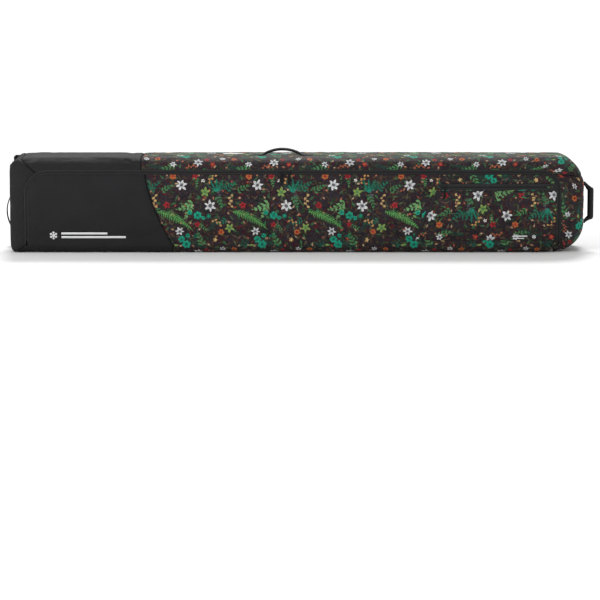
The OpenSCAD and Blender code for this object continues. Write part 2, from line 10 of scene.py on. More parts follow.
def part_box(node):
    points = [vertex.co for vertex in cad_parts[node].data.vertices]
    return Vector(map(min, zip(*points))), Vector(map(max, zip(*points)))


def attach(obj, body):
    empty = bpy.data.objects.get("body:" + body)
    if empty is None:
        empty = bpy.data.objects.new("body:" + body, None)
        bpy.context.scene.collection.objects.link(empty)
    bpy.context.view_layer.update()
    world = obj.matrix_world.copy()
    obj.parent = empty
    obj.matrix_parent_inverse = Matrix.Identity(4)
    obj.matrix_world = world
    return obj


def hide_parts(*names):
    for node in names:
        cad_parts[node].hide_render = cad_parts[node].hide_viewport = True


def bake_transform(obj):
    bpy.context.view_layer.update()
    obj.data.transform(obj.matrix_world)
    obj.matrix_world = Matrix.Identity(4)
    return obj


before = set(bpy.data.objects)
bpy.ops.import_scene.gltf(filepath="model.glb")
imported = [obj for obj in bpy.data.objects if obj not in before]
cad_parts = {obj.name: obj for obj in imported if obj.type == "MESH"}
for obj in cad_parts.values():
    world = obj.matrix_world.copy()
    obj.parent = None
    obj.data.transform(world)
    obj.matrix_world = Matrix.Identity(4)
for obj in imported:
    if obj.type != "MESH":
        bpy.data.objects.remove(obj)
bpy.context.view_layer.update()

MM = 0.001
TAU = 2 * math.pi

# The bag in its own millimetres: X from wheel end to nose, Y from lid to back, Z up
X_END, X_NOSE = -875.0, 875.0
Y_LID, Y_BACK = -111.0, 111.0
TOP = 287.0
NOSE_R, END_R, FOOT_R = 90.0, 32.0, 15.0  # corners of the outline: nose, wheel end's top and foot
REAR_R = 14.0  # the rounding between gusset and back
SKIN, PAD, PINCH = 1.6, 7.8, 14.0  # cloth, padded wall, and how far from a seam it is pinched
PRINT_X, SPLIT_X, SWEEP = -478.0, -465.0, 98.0  # where print begins on gusset and lid, and its sweep
BASE_SEAM = -291.0  # where the base panel ends on the back
ZIP_Z, ZIP_X0, ZIP_X1 = 247.0, -826.0, 793.0  # the main zip's arch: top, wheel end's leg, nose's leg
ZIP_R0, ZIP_R1 = 65.0, 55.0  # and its two corners
COIL, TAPE = 2.1, 5.8  # a zip's half coil and half tape
HINGE_Z = 34.2  # where the lid's zip starts, by the line that the lid turns about
STRIP_LOW, STRIP_HIGH = 26.0, 42.0  # the hinge strip's seams below and above it
POCKET_LOW, POCKET_HIGH, POCKET_STRIP = 38.3, 190.2, 211.5  # the pocket's panel, the strip above it
POCKET_ZIP_Z, POCKET_TAPE = 201.0, 10.4
LID_Y_LOW, LID_Y_HIGH, POCKET_Y = -117.5, -114.2, -115.9  # the furthest forward that cloth may swell
SIDE_X, GRAB_Z = -48.0, 117.0  # middles of the two webbing handles
WHEEL_Z = (48.5, 238.5)
WELL_X, WELL_Y, WELL_HALF = -811.8, 42.8, 20.8  # the holes for the wheel housings
LINING_Y, LINING_HALF = 100.8, 864.3  # the back's lining
PRINT_SHIFT, REPEAT = 474.0, (231.0, 290.0)  # the print's start along the bag, and its repeat
FLOOR_HALF, FLOOR_DROP = 150.0, 0.0006  # the studio's floor, in metres
STEP, FRAMES = 11.0, 18  # spacing of the cloth's grid, and length of its simulation
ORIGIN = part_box("base_panel")[0] - Vector((X_END, Y_BACK - SKIN, 0)) * MM


def at(x, y, z):
    return Vector((x, y, z)) * MM + ORIGIN


def in_mm(point):
    return (point - ORIGIN) / MM


def smooth(t):
    t = np.clip(t, 0, 1)
    return t * t * (3 - 2 * t)


# ---------------------------------------------------------------- camera, light, floor

def camera():
    """Level with the front, a little above, from far off: the view in the photograph."""
    data = bpy.data.cameras.new("camera")
    data.lens, data.sensor_width = 175.4, 36
    cam = bpy.data.objects.new("camera", data)
    bpy.context.scene.collection.objects.link(cam)
    high, away, drop = math.radians(6.4), 9.0, math.radians(1.916)
    middle = at(6, 0, 143)
    cam.location = middle + Vector((0, -math.cos(high), math.sin(high))) * away
    cam.rotation_euler = (math.pi / 2 - high - drop, 0, 0)
    bpy.context.scene.camera = cam


def lamp(name, kind, place, aim, strength, **settings):
    data = bpy.data.lights.new(name, kind)
    data.energy = strength
    for key, value in settings.items():
        setattr(data, key, value)
    obj = bpy.data.objects.new(name, data)
    bpy.context.scene.collection.objects.link(obj)
    obj.location = place
    obj.rotation_euler = (Vector(aim) - Vector(place)).to_track_quat("-Z", "Y").to_euler()


def studio():
    """A white floor and sky, with a broad light from above and behind that lays a soft shadow in front."""
    world = bpy.data.worlds.new("studio")
    bpy.context.scene.world = world
    world.use_nodes = True
    world.node_tree.nodes["Background"].inputs[0].default_value = (1, 1, 1, 1)
    world.node_tree.nodes["Background"].inputs[1].default_value = 0.60
    bpy.context.scene.view_settings.view_transform = "Standard"
    lamp("sky", "SUN", (0.2, 2.9, 3.2), (0, 0, 0), 2.5, angle=math.radians(20))
    lamp("key", "AREA", (-1.9, -2.7, 2.3), (0, 0, 0.12), 60, shape="DISK", size=2.4)
    mesh = bpy.data.meshes.new("floor")
    turns = ((-1, -1), (1, -1), (1, 1), (-1, 1))
    mesh.from_pydata([(x * FLOOR_HALF, y * FLOOR_HALF, -FLOOR_DROP) for x, y in turns], [], [(0, 1, 2, 3)])
    floor = bpy.data.objects.new("floor", mesh)
    bpy.context.scene.collection.objects.link(floor)
    g = Graph("floor_white")
    g.surface(color=(0.86, 0.86, 0.86), rough=0.9, spec=0.0)
    mesh.materials.append(g.material)


# ---------------------------------------------------------------- node helpers

class Term:
    """A socket of a node graph that takes plain arithmetic."""

    def __init__(self, graph, socket):
        self.graph, self.socket = graph, socket


def arithmetic(op, swapped=False):
    """A method of Term that adds a Math node."""
    def method(term, other=None):
        return term.graph.math(op, *((other, term) if swapped else (term, other)))
    return method


for sign, op in {"add": "ADD", "sub": "SUBTRACT", "mul": "MULTIPLY", "truediv": "DIVIDE", "pow": "POWER",
                 "lt": "LESS_THAN", "gt": "GREATER_THAN", "abs": "ABSOLUTE"}.items():
    setattr(Term, f"__{sign}__", arithmetic(op))
for sign, op in {"radd": "ADD", "rsub": "SUBTRACT", "rmul": "MULTIPLY"}.items():
    setattr(Term, f"__{sign}__", arithmetic(op, swapped=True))


class Graph:
    """Builds a material, or a node group, from expressions."""

    def __init__(self, name, group_inputs=None, group_outputs=()):
        if group_inputs is None:
            self.material = bpy.data.materials.new(name)
            self.material.use_nodes = True
            self.tree = self.material.node_tree
            self.tree.nodes.clear()
            return
        self.tree = bpy.data.node_groups.new(name, "ShaderNodeTree")
        for kind, label in group_inputs:
            self.tree.interface.new_socket(label, in_out="INPUT", socket_type=kind)
        for kind, label in group_outputs:
            self.tree.interface.new_socket(label, in_out="OUTPUT", socket_type=kind)
        self.inputs = self.tree.nodes.new("NodeGroupInput")
        self.outputs = self.tree.nodes.new("NodeGroupOutput")

    def put(self, socket, value):
        if isinstance(value, Term):
            self.tree.links.new(value.socket, socket)
        elif isinstance(value, (tuple, list)) and len(value) == 3 and socket.type == "RGBA":
            socket.default_value = (*value, 1)
        elif value is not None:
            socket.default_value = value

    def raw(self, kind, *inputs, **settings):
        """A new node. A setting called in_Some_Name is what goes into the input "Some Name"."""
        n = self.tree.nodes.new("ShaderNode" + kind)
        for k, v in settings.items():
            if not k.startswith("in_"):
                setattr(n, k, v)
        for socket, value in zip(n.inputs, inputs, strict=False):
            self.put(socket, value)
        for k, v in settings.items():
            if k.startswith("in_"):
                self.put(n.inputs[k[3:].replace("_", " ")], v)
        return n

    def node(self, kind, *inputs, out=0, **settings):
        return Term(self, self.raw(kind, *inputs, **settings).outputs[out])

    def math(self, op, *args):
        return self.node("Math", *args, operation=op)

    def vector(self, op, *args, out=0):
        return self.node("VectorMath", *args, operation=op, out=out)

    def split(self, v):
        return [Term(self, o) for o in self.raw("SeparateXYZ", v).outputs]

    def join(self, x, y, z):
        return self.node("CombineXYZ", x, y, z)

    def mix(self, f, a, b, blend="MIX"):
        """Two colours mixed: of the node's inputs, the first is the factor and 6 and 7 are colours."""
        return self.node("Mix", f, *[None] * 5, a, b, out=2, data_type="RGBA", blend_type=blend)

    def shaded(self, color, shade):
        return self.mix(1.0, color, self.join(shade, shade, shade), "MULTIPLY")

    def turned(self, v, angle):
        return self.node("VectorRotate", v, rotation_type="Z_AXIS", in_Angle=angle)

    def step(self, v, lo, hi, to_lo=0.0, to_hi=1.0):
        return self.node("MapRange", v, lo, hi, to_lo, to_hi, interpolation_type="SMOOTHSTEP")

    def noise(self, v, scale, detail, rough=0.5, color=False):
        return self.node("TexNoise", v, in_Scale=scale, in_Detail=detail, in_Roughness=rough,
                         out=1 if color else 0)

    def attribute(self, name):
        return self.node("Attribute", attribute_name=name, out=1)

    def cloth_mm(self):
        return self.vector("SCALE", self.attribute("cloth"), None, None, 1 / MM)

    def bump(self, height, strength, distance, normal=None):
        return self.node("Bump", in_Strength=strength, in_Distance=distance, in_Height=height,
                         in_Normal=normal)

    def use(self, group, *inputs):
        return [Term(self, o) for o in self.raw("Group", *inputs, node_tree=group).outputs]

    def surface(self, color, rough, normal=None, metal=0.0, sheen=0.0, spec=0.5):
        n = self.raw("BsdfPrincipled", in_Base_Color=color, in_Roughness=rough, in_Metallic=metal,
                     in_Normal=normal, in_Sheen_Weight=sheen, in_Sheen_Roughness=0.45,
                     in_Specular_IOR_Level=spec)
        self.tree.links.new(n.outputs[0], self.raw("OutputMaterial").inputs[0])
        return self.material


# ---------------------------------------------------------------- the floral print

def local(g, p, spot, turn, size):
    """The print's millimetres, repeated along and up the bag, as seen from one motif."""
    p = g.vector("SUBTRACT", p, (spot[0], spot[1], 0))
    p = g.vector("WRAP", p, (REPEAT[0] / 2, REPEAT[1] / 2, 1), (-REPEAT[0] / 2, -REPEAT[1] / 2, -1))
    p = g.turned(p, math.radians(-turn))
    return g.vector("SCALE", p, None, None, 1 / size) if size != 1 else p


def motif_graph(name):
    """A node group to fill, from a place to a mask and a shade, and its x and y."""
    outputs = [("NodeSocketFloat", "Mask"), ("NodeSocketFloat", "Shade")]
    g = Graph(name, [("NodeSocketVector", "P")], outputs)
    x, y, _ = g.split(Term(g, g.inputs.outputs[0]))
    return g, x, y


def motif_done(g, mask, shade):
    g.tree.links.new(mask.socket, g.outputs.inputs[0])
    g.tree.links.new(shade.socket, g.outputs.inputs[1])
    return g.tree


def flower_group(name, petals, width, pointed, heart, spread=-2.0):
    """Petals round a heart, out to a radius of 1; with a spread, only those that face +x."""
    g, x, y = motif_graph(name)
    r = g.math("SQRT", x * x + y * y)
    turn = g.math("ARCTAN2", y, x) * (petals / TAU)
    side = r * g.math("PINGPONG", turn, 0.5) * (TAU / petals)
    lens = r * (1 - r)
    if pointed:
        edge = lens * (4 * width)
    else:
        edge = g.math("SQRT", g.math("MAXIMUM", lens, 0.0)) * (2 * width)
    mask = g.math("MAXIMUM", g.step(edge - side, -0.02, 0.04), r < heart)
    if spread > -1:
        mask = mask * (x > r * spread)
    return motif_done(g, mask, g.step(r, heart, 0.5) * g.step(side, 0.0, 0.07, 0.72, 1.0))


def frond_group(name, pitch, reach, length, width, slant, bow, feather):
    """Pairs of slanted leaves along a bowed stem, shorter towards its ends."""
    g, x, y = motif_graph(name)
    t = g.math("MAXIMUM", g.math("MINIMUM", x / length, 0.999), 0.001)
    e = abs(y - t * (1 - t) * (4 * bow))
    if feather:
        wide = (t ** 0.6) * ((1 - t) ** 0.9) * 2.75
    else:
        wide = (1 - t) ** 0.6
    out = e / (wide * reach + 0.01)
    across = abs(g.math("WRAP", x - e * slant, pitch / 2, -pitch / 2))
    leaf = (1 - out * out) * width - across if feather else out * (1 - out) * (4 * width) - across
    mask = g.math("MAXIMUM", g.step(leaf, -0.2, 0.25) * (out < 1), e < 0.6)
    inside = (x > 0) * (x < length)
    return motif_done(g, mask * inside, g.step(across, 0.0, width * 0.5, 0.7, 1.0))


def berry_group(name, pitch, side, radius, length):
    """Berries on short stalks to both sides of a stem."""
    g, x, y = motif_graph(name)
    bend = y - g.math("SINE", x * (3.0 / length)) * 4
    sway = x + g.math("SIGN", bend) * (pitch / 4)
    a = g.math("WRAP", sway, pitch / 2, -pitch / 2)
    b = abs(bend) - side
    r = g.math("SQRT", a * a + b * b)
    stalk = (abs(a) < 0.35) * (b < 0)
    mask = g.math("MAXIMUM", r < radius, g.math("MAXIMUM", stalk, abs(bend) < 0.5))
    inside = (x > 0) * (x < length)
    return motif_done(g, mask * inside, g.step(r, 0, radius, 1.0, 0.6))


def scatter(g, p, under, cell, shape, colors, share, seed):
    """Small leaves of one kind, thrown at random turns over the ground."""
    shifted = g.vector("ADD", p, (seed * 37.0, seed * 91.0, seed * 1.0))
    cells = g.raw("TexVoronoi", shifted, voronoi_dimensions="2D", in_Scale=1 / cell)
    pick = g.split(Term(g, cells.outputs["Color"]))
    middle = Term(g, cells.outputs["Position"])
    x, y, _ = g.split(g.turned(g.vector("SUBTRACT", shifted, middle), pick[0] * TAU))
    long, wide = shape
    along = x / long + 0.5
    lens = along * (1 - along) * (4 * wide) - abs(y)
    stem = (abs(y) < 0.4) * (abs(x) < long * 0.9)
    mask = g.math("MAXIMUM", g.step(lens, -0.2, 0.3), stem * 0.6) * (pick[1] < share)
    tint = g.mix(pick[2], colors[0], colors[1])
    return g.mix(mask, under, g.shaded(tint, g.step(abs(y), 0.0, 0.5, 0.6, 1.0)))


WHITE, CREAM, GREY = (0.66, 0.67, 0.68), (0.50, 0.40, 0.22), (0.09, 0.09, 0.10)
RED, ORANGE, WINE = (0.31, 0.022, 0.030), (0.40, 0.11, 0.034), (0.16, 0.010, 0.012)
TEAL, JADE, DIM = (0.012, 0.28, 0.18), (0.012, 0.115, 0.070), (0.014, 0.048, 0.036)
LIME, GREEN, LEAF = (0.21, 0.32, 0.080), (0.055, 0.18, 0.065), (0.14, 0.33, 0.125)
MAROON, PEACH, LILAC = (0.068, 0.013, 0.022), (0.50, 0.30, 0.11), (0.07, 0.063, 0.085)

# What stands where in one repeat: kind, (x, z), turn in degrees, size, petal colour, heart colour
MOTIFS = [
    ("fern", (196, 16), 152, 0.62, DIM, JADE),
    ("fern", (14, 268), -18, 0.70, DIM, JADE),
    ("fern", (226, 118), -118, 0.55, DIM, JADE),
    ("leaf", (61, 76), 38, 20, MAROON, WINE),
    ("leaf", (150, 47), 22, 28, JADE, DIM),
    ("leaf", (76, 178), 152, 22, MAROON, WINE),
    ("berries", (4, 156), 84, 1.0, LILAC, GREY),
    ("fan", (227, 184), 90, 48, JADE, TEAL),
    ("fan", (21, 190), 112, 36, JADE, DIM),
    ("sprig", (28, 192), 42, 0.8, JADE, TEAL),
    ("fan", (88, 16), 120, 34, DIM, JADE),
    ("sprig", (62, 188), 28, 0.8, GREEN, JADE),
    ("sprig", (186, 26), 112, 0.9, GREEN, LEAF),
    ("sprig", (228, 172), -72, 0.8, GREEN, JADE),
    ("sprig", (96, 272), 196, 0.9, GREEN, LEAF),
    ("sprig", (24, 104), 204, 0.7, JADE, TEAL),
    ("fern", (45, 127), -27, 1.0, (0.10, 0.33, 0.085), GREEN),
    ("sprig", (152, 156), 204, 1.05, LEAF, GREEN),
    ("sprig", (147, 148), 246, 0.9, LEAF, GREEN),
    ("sprig", (162, 230), -84, 0.6, GREEN, LEAF),
    ("sprig", (172, 86), -36, 0.6, GREEN, LEAF),
    ("berries", (41, 139), 90, 1.0, PEACH, CREAM),
    ("berries", (201, 214), 46, 0.85, PEACH, ORANGE),
    ("berries", (213, 102), -30, 0.8, PEACH, ORANGE),
    ("berries", (132, 262), 8, 0.8, RED, PEACH),
    ("clover", (192, 187), 12, 16, LIME, GREEN),
    ("clover", (35, 78), 50, 16, LIME, GREEN),
    ("leaf", (92, 24), 4, 18, LIME, GREEN),
    ("round", (145, 124), 10, 8, TEAL, JADE),
    ("round", (169, 116), 40, 12.5, TEAL, JADE),
    ("round", (186, 108), 0, 6.5, TEAL, JADE),
    ("round", (202, 114), 20, 8, JADE, TEAL),
    ("round", (120, 42), 0, 11, TEAL, JADE),
    ("round", (138, 54), 30, 7, TEAL, DIM),
    ("round", (134, 26), 16, 13.5, TEAL, JADE),
    ("bloom", (162, 235), 0, 10.5, RED, WINE),
    ("bloom", (75, 147), 30, 11.5, RED, WINE),
    ("bloom", (168, 88), 10, 9.5, RED, WINE),
    ("round", (94, 235), 20, 10.5, ORANGE, RED),
    ("round", (9, 65), 50, 9.5, ORANGE, RED),
    ("bloom", (196, 4), 15, 9, RED, WINE),
    ("round", (48, 8), 40, 9, ORANGE, WINE),
    ("bloom", (214, 274), 40, 9.5, RED, ORANGE),
    ("lily", (120, 208), 12, 18, WHITE, GREY),
    ("lily", (207, 145), 35, 19, WHITE, GREY),
    ("lily", (114, 67), 55, 14.5, WHITE, GREY),
    ("lily", (13, 10), 20, 10, WHITE, GREY),
    ("lily", (170, 281), 20, 16, WHITE, GREY),
    ("lily", (93, 274), 48, 11, WHITE, GREY),
    ("star", (222, 40), 0, 7, PEACH, CREAM),
    ("star", (186, 222), 0, 6, WHITE, PEACH),
]


# The small leaves under them: a leaf's cell, (length, width), two colours, share of cells, seed
LEAVES = [
    (34, (36, 7.5), ((0.030, 0.025, 0.027), (0.036, 0.011, 0.018)), 0.7, 5),
    (17, (17, 3.2), ((0.045, 0.012, 0.016), (0.03, 0.026, 0.028)), 0.8, 1),
    (15, (15, 2.4), ((0.015, 0.055, 0.022), (0.09, 0.035, 0.02)), 0.7, 2),
    (20, (19, 2.8), ((0.03, 0.13, 0.05), (0.10, 0.055, 0.05)), 0.5, 3),
    (24, (9, 2.6), ((0.34, 0.05, 0.03), (0.45, 0.33, 0.20)), 0.33, 4),
]


def print_group():
    """The whole print as one node group: a place on the cloth in, its colour out."""
    kinds = {
        "lily": flower_group("lily", 6, 0.22, True, 0.13),
        "round": flower_group("round", 6, 0.43, False, 0.16),
        "bloom": flower_group("bloom", 5, 0.34, True, 0.18),
        "star": flower_group("star", 5, 0.30, False, 0.22),
        "clover": flower_group("clover", 5, 0.25, True, 0.06),
        "leaf": flower_group("leaf", 1, 0.19, True, 0.02),
        "fan": flower_group("fan", 14, 0.075, True, 0.03, spread=0.66),
        "fern": frond_group("fern", 6.2, 14.5, 118, 1.75, 0.75, 9, True),
        "sprig": frond_group("sprig", 13.0, 15, 52, 3.9, 0.7, 5, False),
        "berries": berry_group("berries", 17.0, 3.8, 3.5, 42),
    }
    g = Graph("floral_print", [("NodeSocketVector", "P")], [("NodeSocketColor", "Color")])
    p = Term(g, g.inputs.outputs[0])
    blot = g.noise(p, 0.02, 3, 0.6)
    wander = g.noise(p, 0.11, 2, 0.5, color=True)
    p = g.vector("MULTIPLY_ADD", g.vector("SUBTRACT", wander, (0.5, 0.5, 0.5)), (7.0, 7.0, 0.0), p)
    color = g.mix(g.step(blot, 0.35, 0.65), (0.0185, 0.0145, 0.0185), (0.0295, 0.0225, 0.0280))
    for cell, shape, tints, share, seed in LEAVES:
        color = scatter(g, p, color, cell, shape, tints, share, seed)
    # The colour so far enters the next place by a billionth, so that Cycles works out one motif
    # at a time: all of them at once don't fit on its stack.
    for kind, spot, turn, size, petal, heart in MOTIFS:
        mask, shade = g.use(kinds[kind], local(g, p, spot, turn, size))
        color = g.mix(mask, color, g.mix(shade, heart, petal))
        p = g.vector("MULTIPLY_ADD", color, (1e-9, 1e-9, 1e-9), p)
    color = g.shaded(color, g.step(g.noise(p, 0.16, 3, 0.65), 0.36, 0.62, 0.60, 1.04))
    g.tree.links.new(color.socket, g.outputs.inputs[0])
    return g.tree


# ---------------------------------------------------------------- materials

def weave(g, p, pitch):
    """Over-and-under threads, as a height from 0 to 1; p in millimetres of cloth."""
    x, y, _ = g.split(p)
    a = g.math("SINE", x * (TAU / pitch))
    b = g.math("SINE", y * (TAU / pitch))
    return (a * b) * 0.5 + 0.5


def seam_marks(g, seam):
    """(groove, stitches) from the distances to a piece's edges in millimetres."""
    across, along, run = g.split(seam)
    near = g.math("MINIMUM", across, along)
    # groove: 1 at a seam and gone by 2.2 mm; a real dip in the bump, and painted shade where cloth()
    # darkens its colour
    groove = g.step(near, 0.4, 2.2, 1.0, 0.0)
    line = g.step(abs(near - 6.0), 0.35, 0.75, 1.0, 0.0)
    dash = g.math("PINGPONG", run / 4.2, 0.5) > 0.12
    return near, groove, line * dash


def cloth(name, color=None, group=None, turn=0.0, shift=(0, 0), rough=0.70, sheen=0.02, thread=0.9,
          spec=0.09):
    """Coated canvas, plain or printed, with weave, puckers by the seams, painted shade in the seam grooves,
    stitches and wear.
    """
    g = Graph(name)
    p = g.cloth_mm()
    near, groove, stitches = seam_marks(g, g.attribute("seam"))
    if group:
        color = g.use(group, g.vector("ADD", g.turned(p, turn), (*shift, 0)))[0]
    fade = g.noise(p, 0.012, 4, 0.6)
    worn = g.step(g.noise(p, 0.35, 5, 0.7), 0.55, 0.8)
    color = g.mix(g.step(fade, 0.3, 0.7) * 0.22, color, (1, 1, 1), "SOFT_LIGHT")
    edge = g.step(near, 1.5, 5.0, 1.0, 0.0)
    color = g.mix(edge * worn * 0.2, color, (0.06, 0.06, 0.062))
    # Painted shade: the cloth's colour darkens towards black in the groove along each seam
    color = g.mix(groove * 0.7, color, (0.004, 0.004, 0.005))
    color = g.mix(stitches * 0.45, color, (0.026, 0.026, 0.028))
    threads = weave(g, p, thread)
    px, py, _ = g.split(p)
    pucker = g.noise(g.join(px * 0.11, py * 0.11, 0.0), 1.0, 3, 0.55)
    calm = g.step(near, 0.0, 45.0, 1.0, 0.25)
    creases = g.noise(g.join(px * 0.016, py * 0.03, 3.0), 1.0, 4, 0.6)
    normal = g.bump(creases, 0.5, 0.006)
    normal = g.bump(pucker * calm, 0.5, 0.0035, normal)
    normal = g.bump(threads, 0.18, 0.00025, normal)
    normal = g.bump(stitches - groove, 0.6, 0.0008, normal)
    roughness = g.step(fade, 0.2, 0.8, rough - 0.08, rough + 0.08) + (stitches * -0.1)
    return g.surface(color, roughness, normal, sheen=sheen, spec=spec)


def moulded(name, color, rough, grain=1.6, scuff=0.35, spec=0.5):
    """Moulded plastic or rubber: fine grain, faint flow marks, scuffs."""
    g = Graph(name)
    p = g.node("TexCoord", out=3)
    fine = g.noise(p, grain * 1000, 2, 0.6)
    flow = g.noise(p, 22.0, 4, 0.6)
    scratch = g.noise(g.vector("MULTIPLY", p, (40.0, 600.0, 600.0)), 1.0, 3, 0.7)
    marks = g.step(scratch, 0.60, 0.74) * g.step(flow, 0.42, 0.7)
    light = tuple(min(1, c * 2.2 + 0.02) for c in color)
    base = g.mix(g.step(flow, 0.25, 0.75) * 0.35, color, tuple(c * 0.7 for c in color))
    base = g.mix(marks * scuff, base, light)
    normal = g.bump(fine, 0.25, 0.0002)
    normal = g.bump(flow, 0.15, 0.0006, normal)
    return g.surface(base, g.step(fine, 0.3, 0.7, rough - 0.06, rough + 0.07) + marks * 0.15, normal,
                     spec=spec)


def metal(name, color, rough):
    g = Graph(name)
    p = g.node("TexCoord", out=3)
    brush = g.noise(g.vector("MULTIPLY", p, (300.0, 2500.0, 2500.0)), 1.0, 3, 0.6)
    spots = g.noise(p, 180.0, 3, 0.6)
    base = g.mix(g.step(spots, 0.5, 0.8) * 0.3, color, tuple(c * 0.55 for c in color))
    roughness = g.step(brush, 0.3, 0.7, rough, rough + 0.18)
    return g.surface(base, roughness, g.bump(brush, 0.2, 0.0001), metal=1.0)


def webbing(name, color):
    """Woven webbing: ribs across, a smooth selvedge, box stitches near marked edges."""
    g = Graph(name)
    p = g.cloth_mm()
    x, y, _ = g.split(p)
    _, _, stitches = seam_marks(g, g.attribute("seam"))
    rib = g.math("SINE", x * (TAU / 1.6) + g.math("SINE", y * (TAU / 3.0)) * 1.4) * 0.5 + 0.5
    dust = g.noise(p, 0.05, 4, 0.7)
    base = g.mix(g.step(dust, 0.45, 0.75) * 0.35, color, tuple(c * 1.9 for c in color))
    base = g.mix(rib * 0.25, base, tuple(c * 0.45 for c in color))
    base = g.mix(stitches * 0.6, base, (0.07, 0.07, 0.072))
    normal = g.bump(rib, 0.45, 0.0005)
    normal = g.bump(stitches, 0.5, 0.0006, normal)
    return g.surface(base, 0.66, normal, sheen=0.05, spec=0.2)


def coil_material(name, color):
    g = Graph(name)
    p = g.cloth_mm()
    x, y, _ = g.split(p)
    tooth = g.math("SINE", x * (TAU / 2.6) + y * 0.4) * 0.5 + 0.5
    # Painted shade: the coil's colour drops to 0.4 of itself in the hollows between teeth, where the bump
    # dips
    base = g.mix(tooth, tuple(c * 0.4 for c in color), color)
    return g.surface(base, 0.5, g.bump(tooth, 0.6, 0.0006), spec=0.2)


def foam_material():
    g = Graph("foam")
    p = g.node("TexCoord", out=3)
    cells = g.node("TexVoronoi", p, in_Scale=700.0)
    tone = g.noise(p, 30.0, 3)
    color = g.mix(tone, (0.050, 0.050, 0.053), (0.075, 0.075, 0.080))
    return g.surface(color, 0.9, g.bump(cells, 0.4, 0.0004))


def make_materials():
    printed = print_group()
    return {
        "black": cloth("cloth_black", (0.0160, 0.0160, 0.0170)),
        "base": cloth("cloth_base", (0.0110, 0.0110, 0.0130), rough=0.62, thread=1.6, spec=0.14),
        "print": cloth("cloth_print", group=printed),
        "pocket": cloth("cloth_print_pocket", group=printed, turn=math.pi, shift=(61.0, 33.0)),
        "lining": cloth("lining_cloth", (0.048, 0.049, 0.053), rough=0.5, sheen=0.05, thread=0.6),
        "tape": cloth("zip_tape", (0.0240, 0.0240, 0.0250), rough=0.8, thread=0.7, spec=0.06),
        "coil": coil_material("zip_coil", (0.0190, 0.0190, 0.0200)),
        "webbing": webbing("webbing", (0.009, 0.009, 0.0095)),
        "housing": moulded("housing_plastic", (0.0095, 0.0095, 0.0105), 0.42, spec=0.42),
        "rail": moulded("rail_plastic", (0.0095, 0.0095, 0.0105), 0.40, scuff=0.4, spec=0.42),
        "hub": moulded("hub_plastic", (0.085, 0.085, 0.09), 0.42),
        "tyre": moulded("tyre_rubber", (0.008, 0.008, 0.0085), 0.60, scuff=0.6, spec=0.30),
        "grip": moulded("grip_rubber", (0.011, 0.011, 0.012), 0.60, grain=0.9, spec=0.25),
        "pull": moulded("pull_rubber", (0.007, 0.007, 0.0075), 0.6, grain=1.2, spec=0.15),
        "buckle": moulded("buckle_plastic", (0.024, 0.024, 0.026), 0.28, scuff=0.2),
        "board": moulded("board_sheet", (0.05, 0.05, 0.055), 0.55),
        "slider": metal("slider_metal", (0.028, 0.028, 0.031), 0.34),
        "steel": metal("steel", (0.55, 0.56, 0.58), 0.28),
        "screw": metal("screw_black", (0.020, 0.020, 0.022), 0.38),
        "foam": foam_material(),
        "mark": moulded("mark_white", (0.80, 0.80, 0.80), 0.45, scuff=0.05),
    }


# ---------------------------------------------------------------- the bag's surface

def inset(r, over_x, over_z):
    """Depth inside corners of radius r, from how far points lie past the corners' centres."""
    corner = (over_x > 0) & (over_z > 0)
    return np.where(corner, r - np.hypot(over_x, over_z), r - np.maximum(over_x, over_z))


def depth(x, z):
    """How far inside the outline a point of the front or back lies."""
    x, z = np.asarray(x, float), np.asarray(z, float)
    r = np.where(x > 0, NOSE_R, np.where(z > TOP / 2, END_R, FOOT_R))
    over_x = np.where(x > 0, x - (X_NOSE - r), X_END + r - x)
    return inset(r, over_x, np.where(z > TOP / 2, z - (TOP - r), r - z))


def roundover(x, z):
    """Radius between the front and the gusset: soft at the nose, tight at the wheel end."""
    r = 38 + (25 - 38) * smooth((70 - z) / 50)
    r = r + (72 - r) * smooth((x - 720) / 110)
    return r + (30 - r) * smooth((-760 - x) / 70)


def front_y(x, z):
    r = roundover(x, z)
    short = np.clip(r - np.maximum(depth(x, z), 0), 0, r)
    return Y_LID + r - np.sqrt(np.maximum(r * r - short * short, 0))


def arch_inset(x, z, grow):
    """How far inside the main zip's arch, grown by a distance, a point lies."""
    x, z = np.asarray(x, float), np.asarray(z, float)
    left = x < 0
    r = np.where(left, ZIP_R0, ZIP_R1) + grow
    over_x = np.where(left, ZIP_X0 + ZIP_R0 - x, x - (ZIP_X1 - ZIP_R1))
    return inset(r, over_x, z - (ZIP_Z - np.where(left, ZIP_R0, ZIP_R1)))


def arch_top(x, grow):
    """Height of the grown arch above a place along the bag."""
    left, right = ZIP_X0 + ZIP_R0, ZIP_X1 - ZIP_R1
    r0, r1 = ZIP_R0 + grow, ZIP_R1 + grow
    z = np.full_like(np.asarray(x, float), ZIP_Z + grow)
    z = np.where(x < left, ZIP_Z - ZIP_R0 + np.sqrt(np.maximum(r0**2 - (x - left) ** 2, 0)), z)
    return np.where(x > right, ZIP_Z - ZIP_R1 + np.sqrt(np.maximum(r1**2 - (x - right) ** 2, 0)), z)


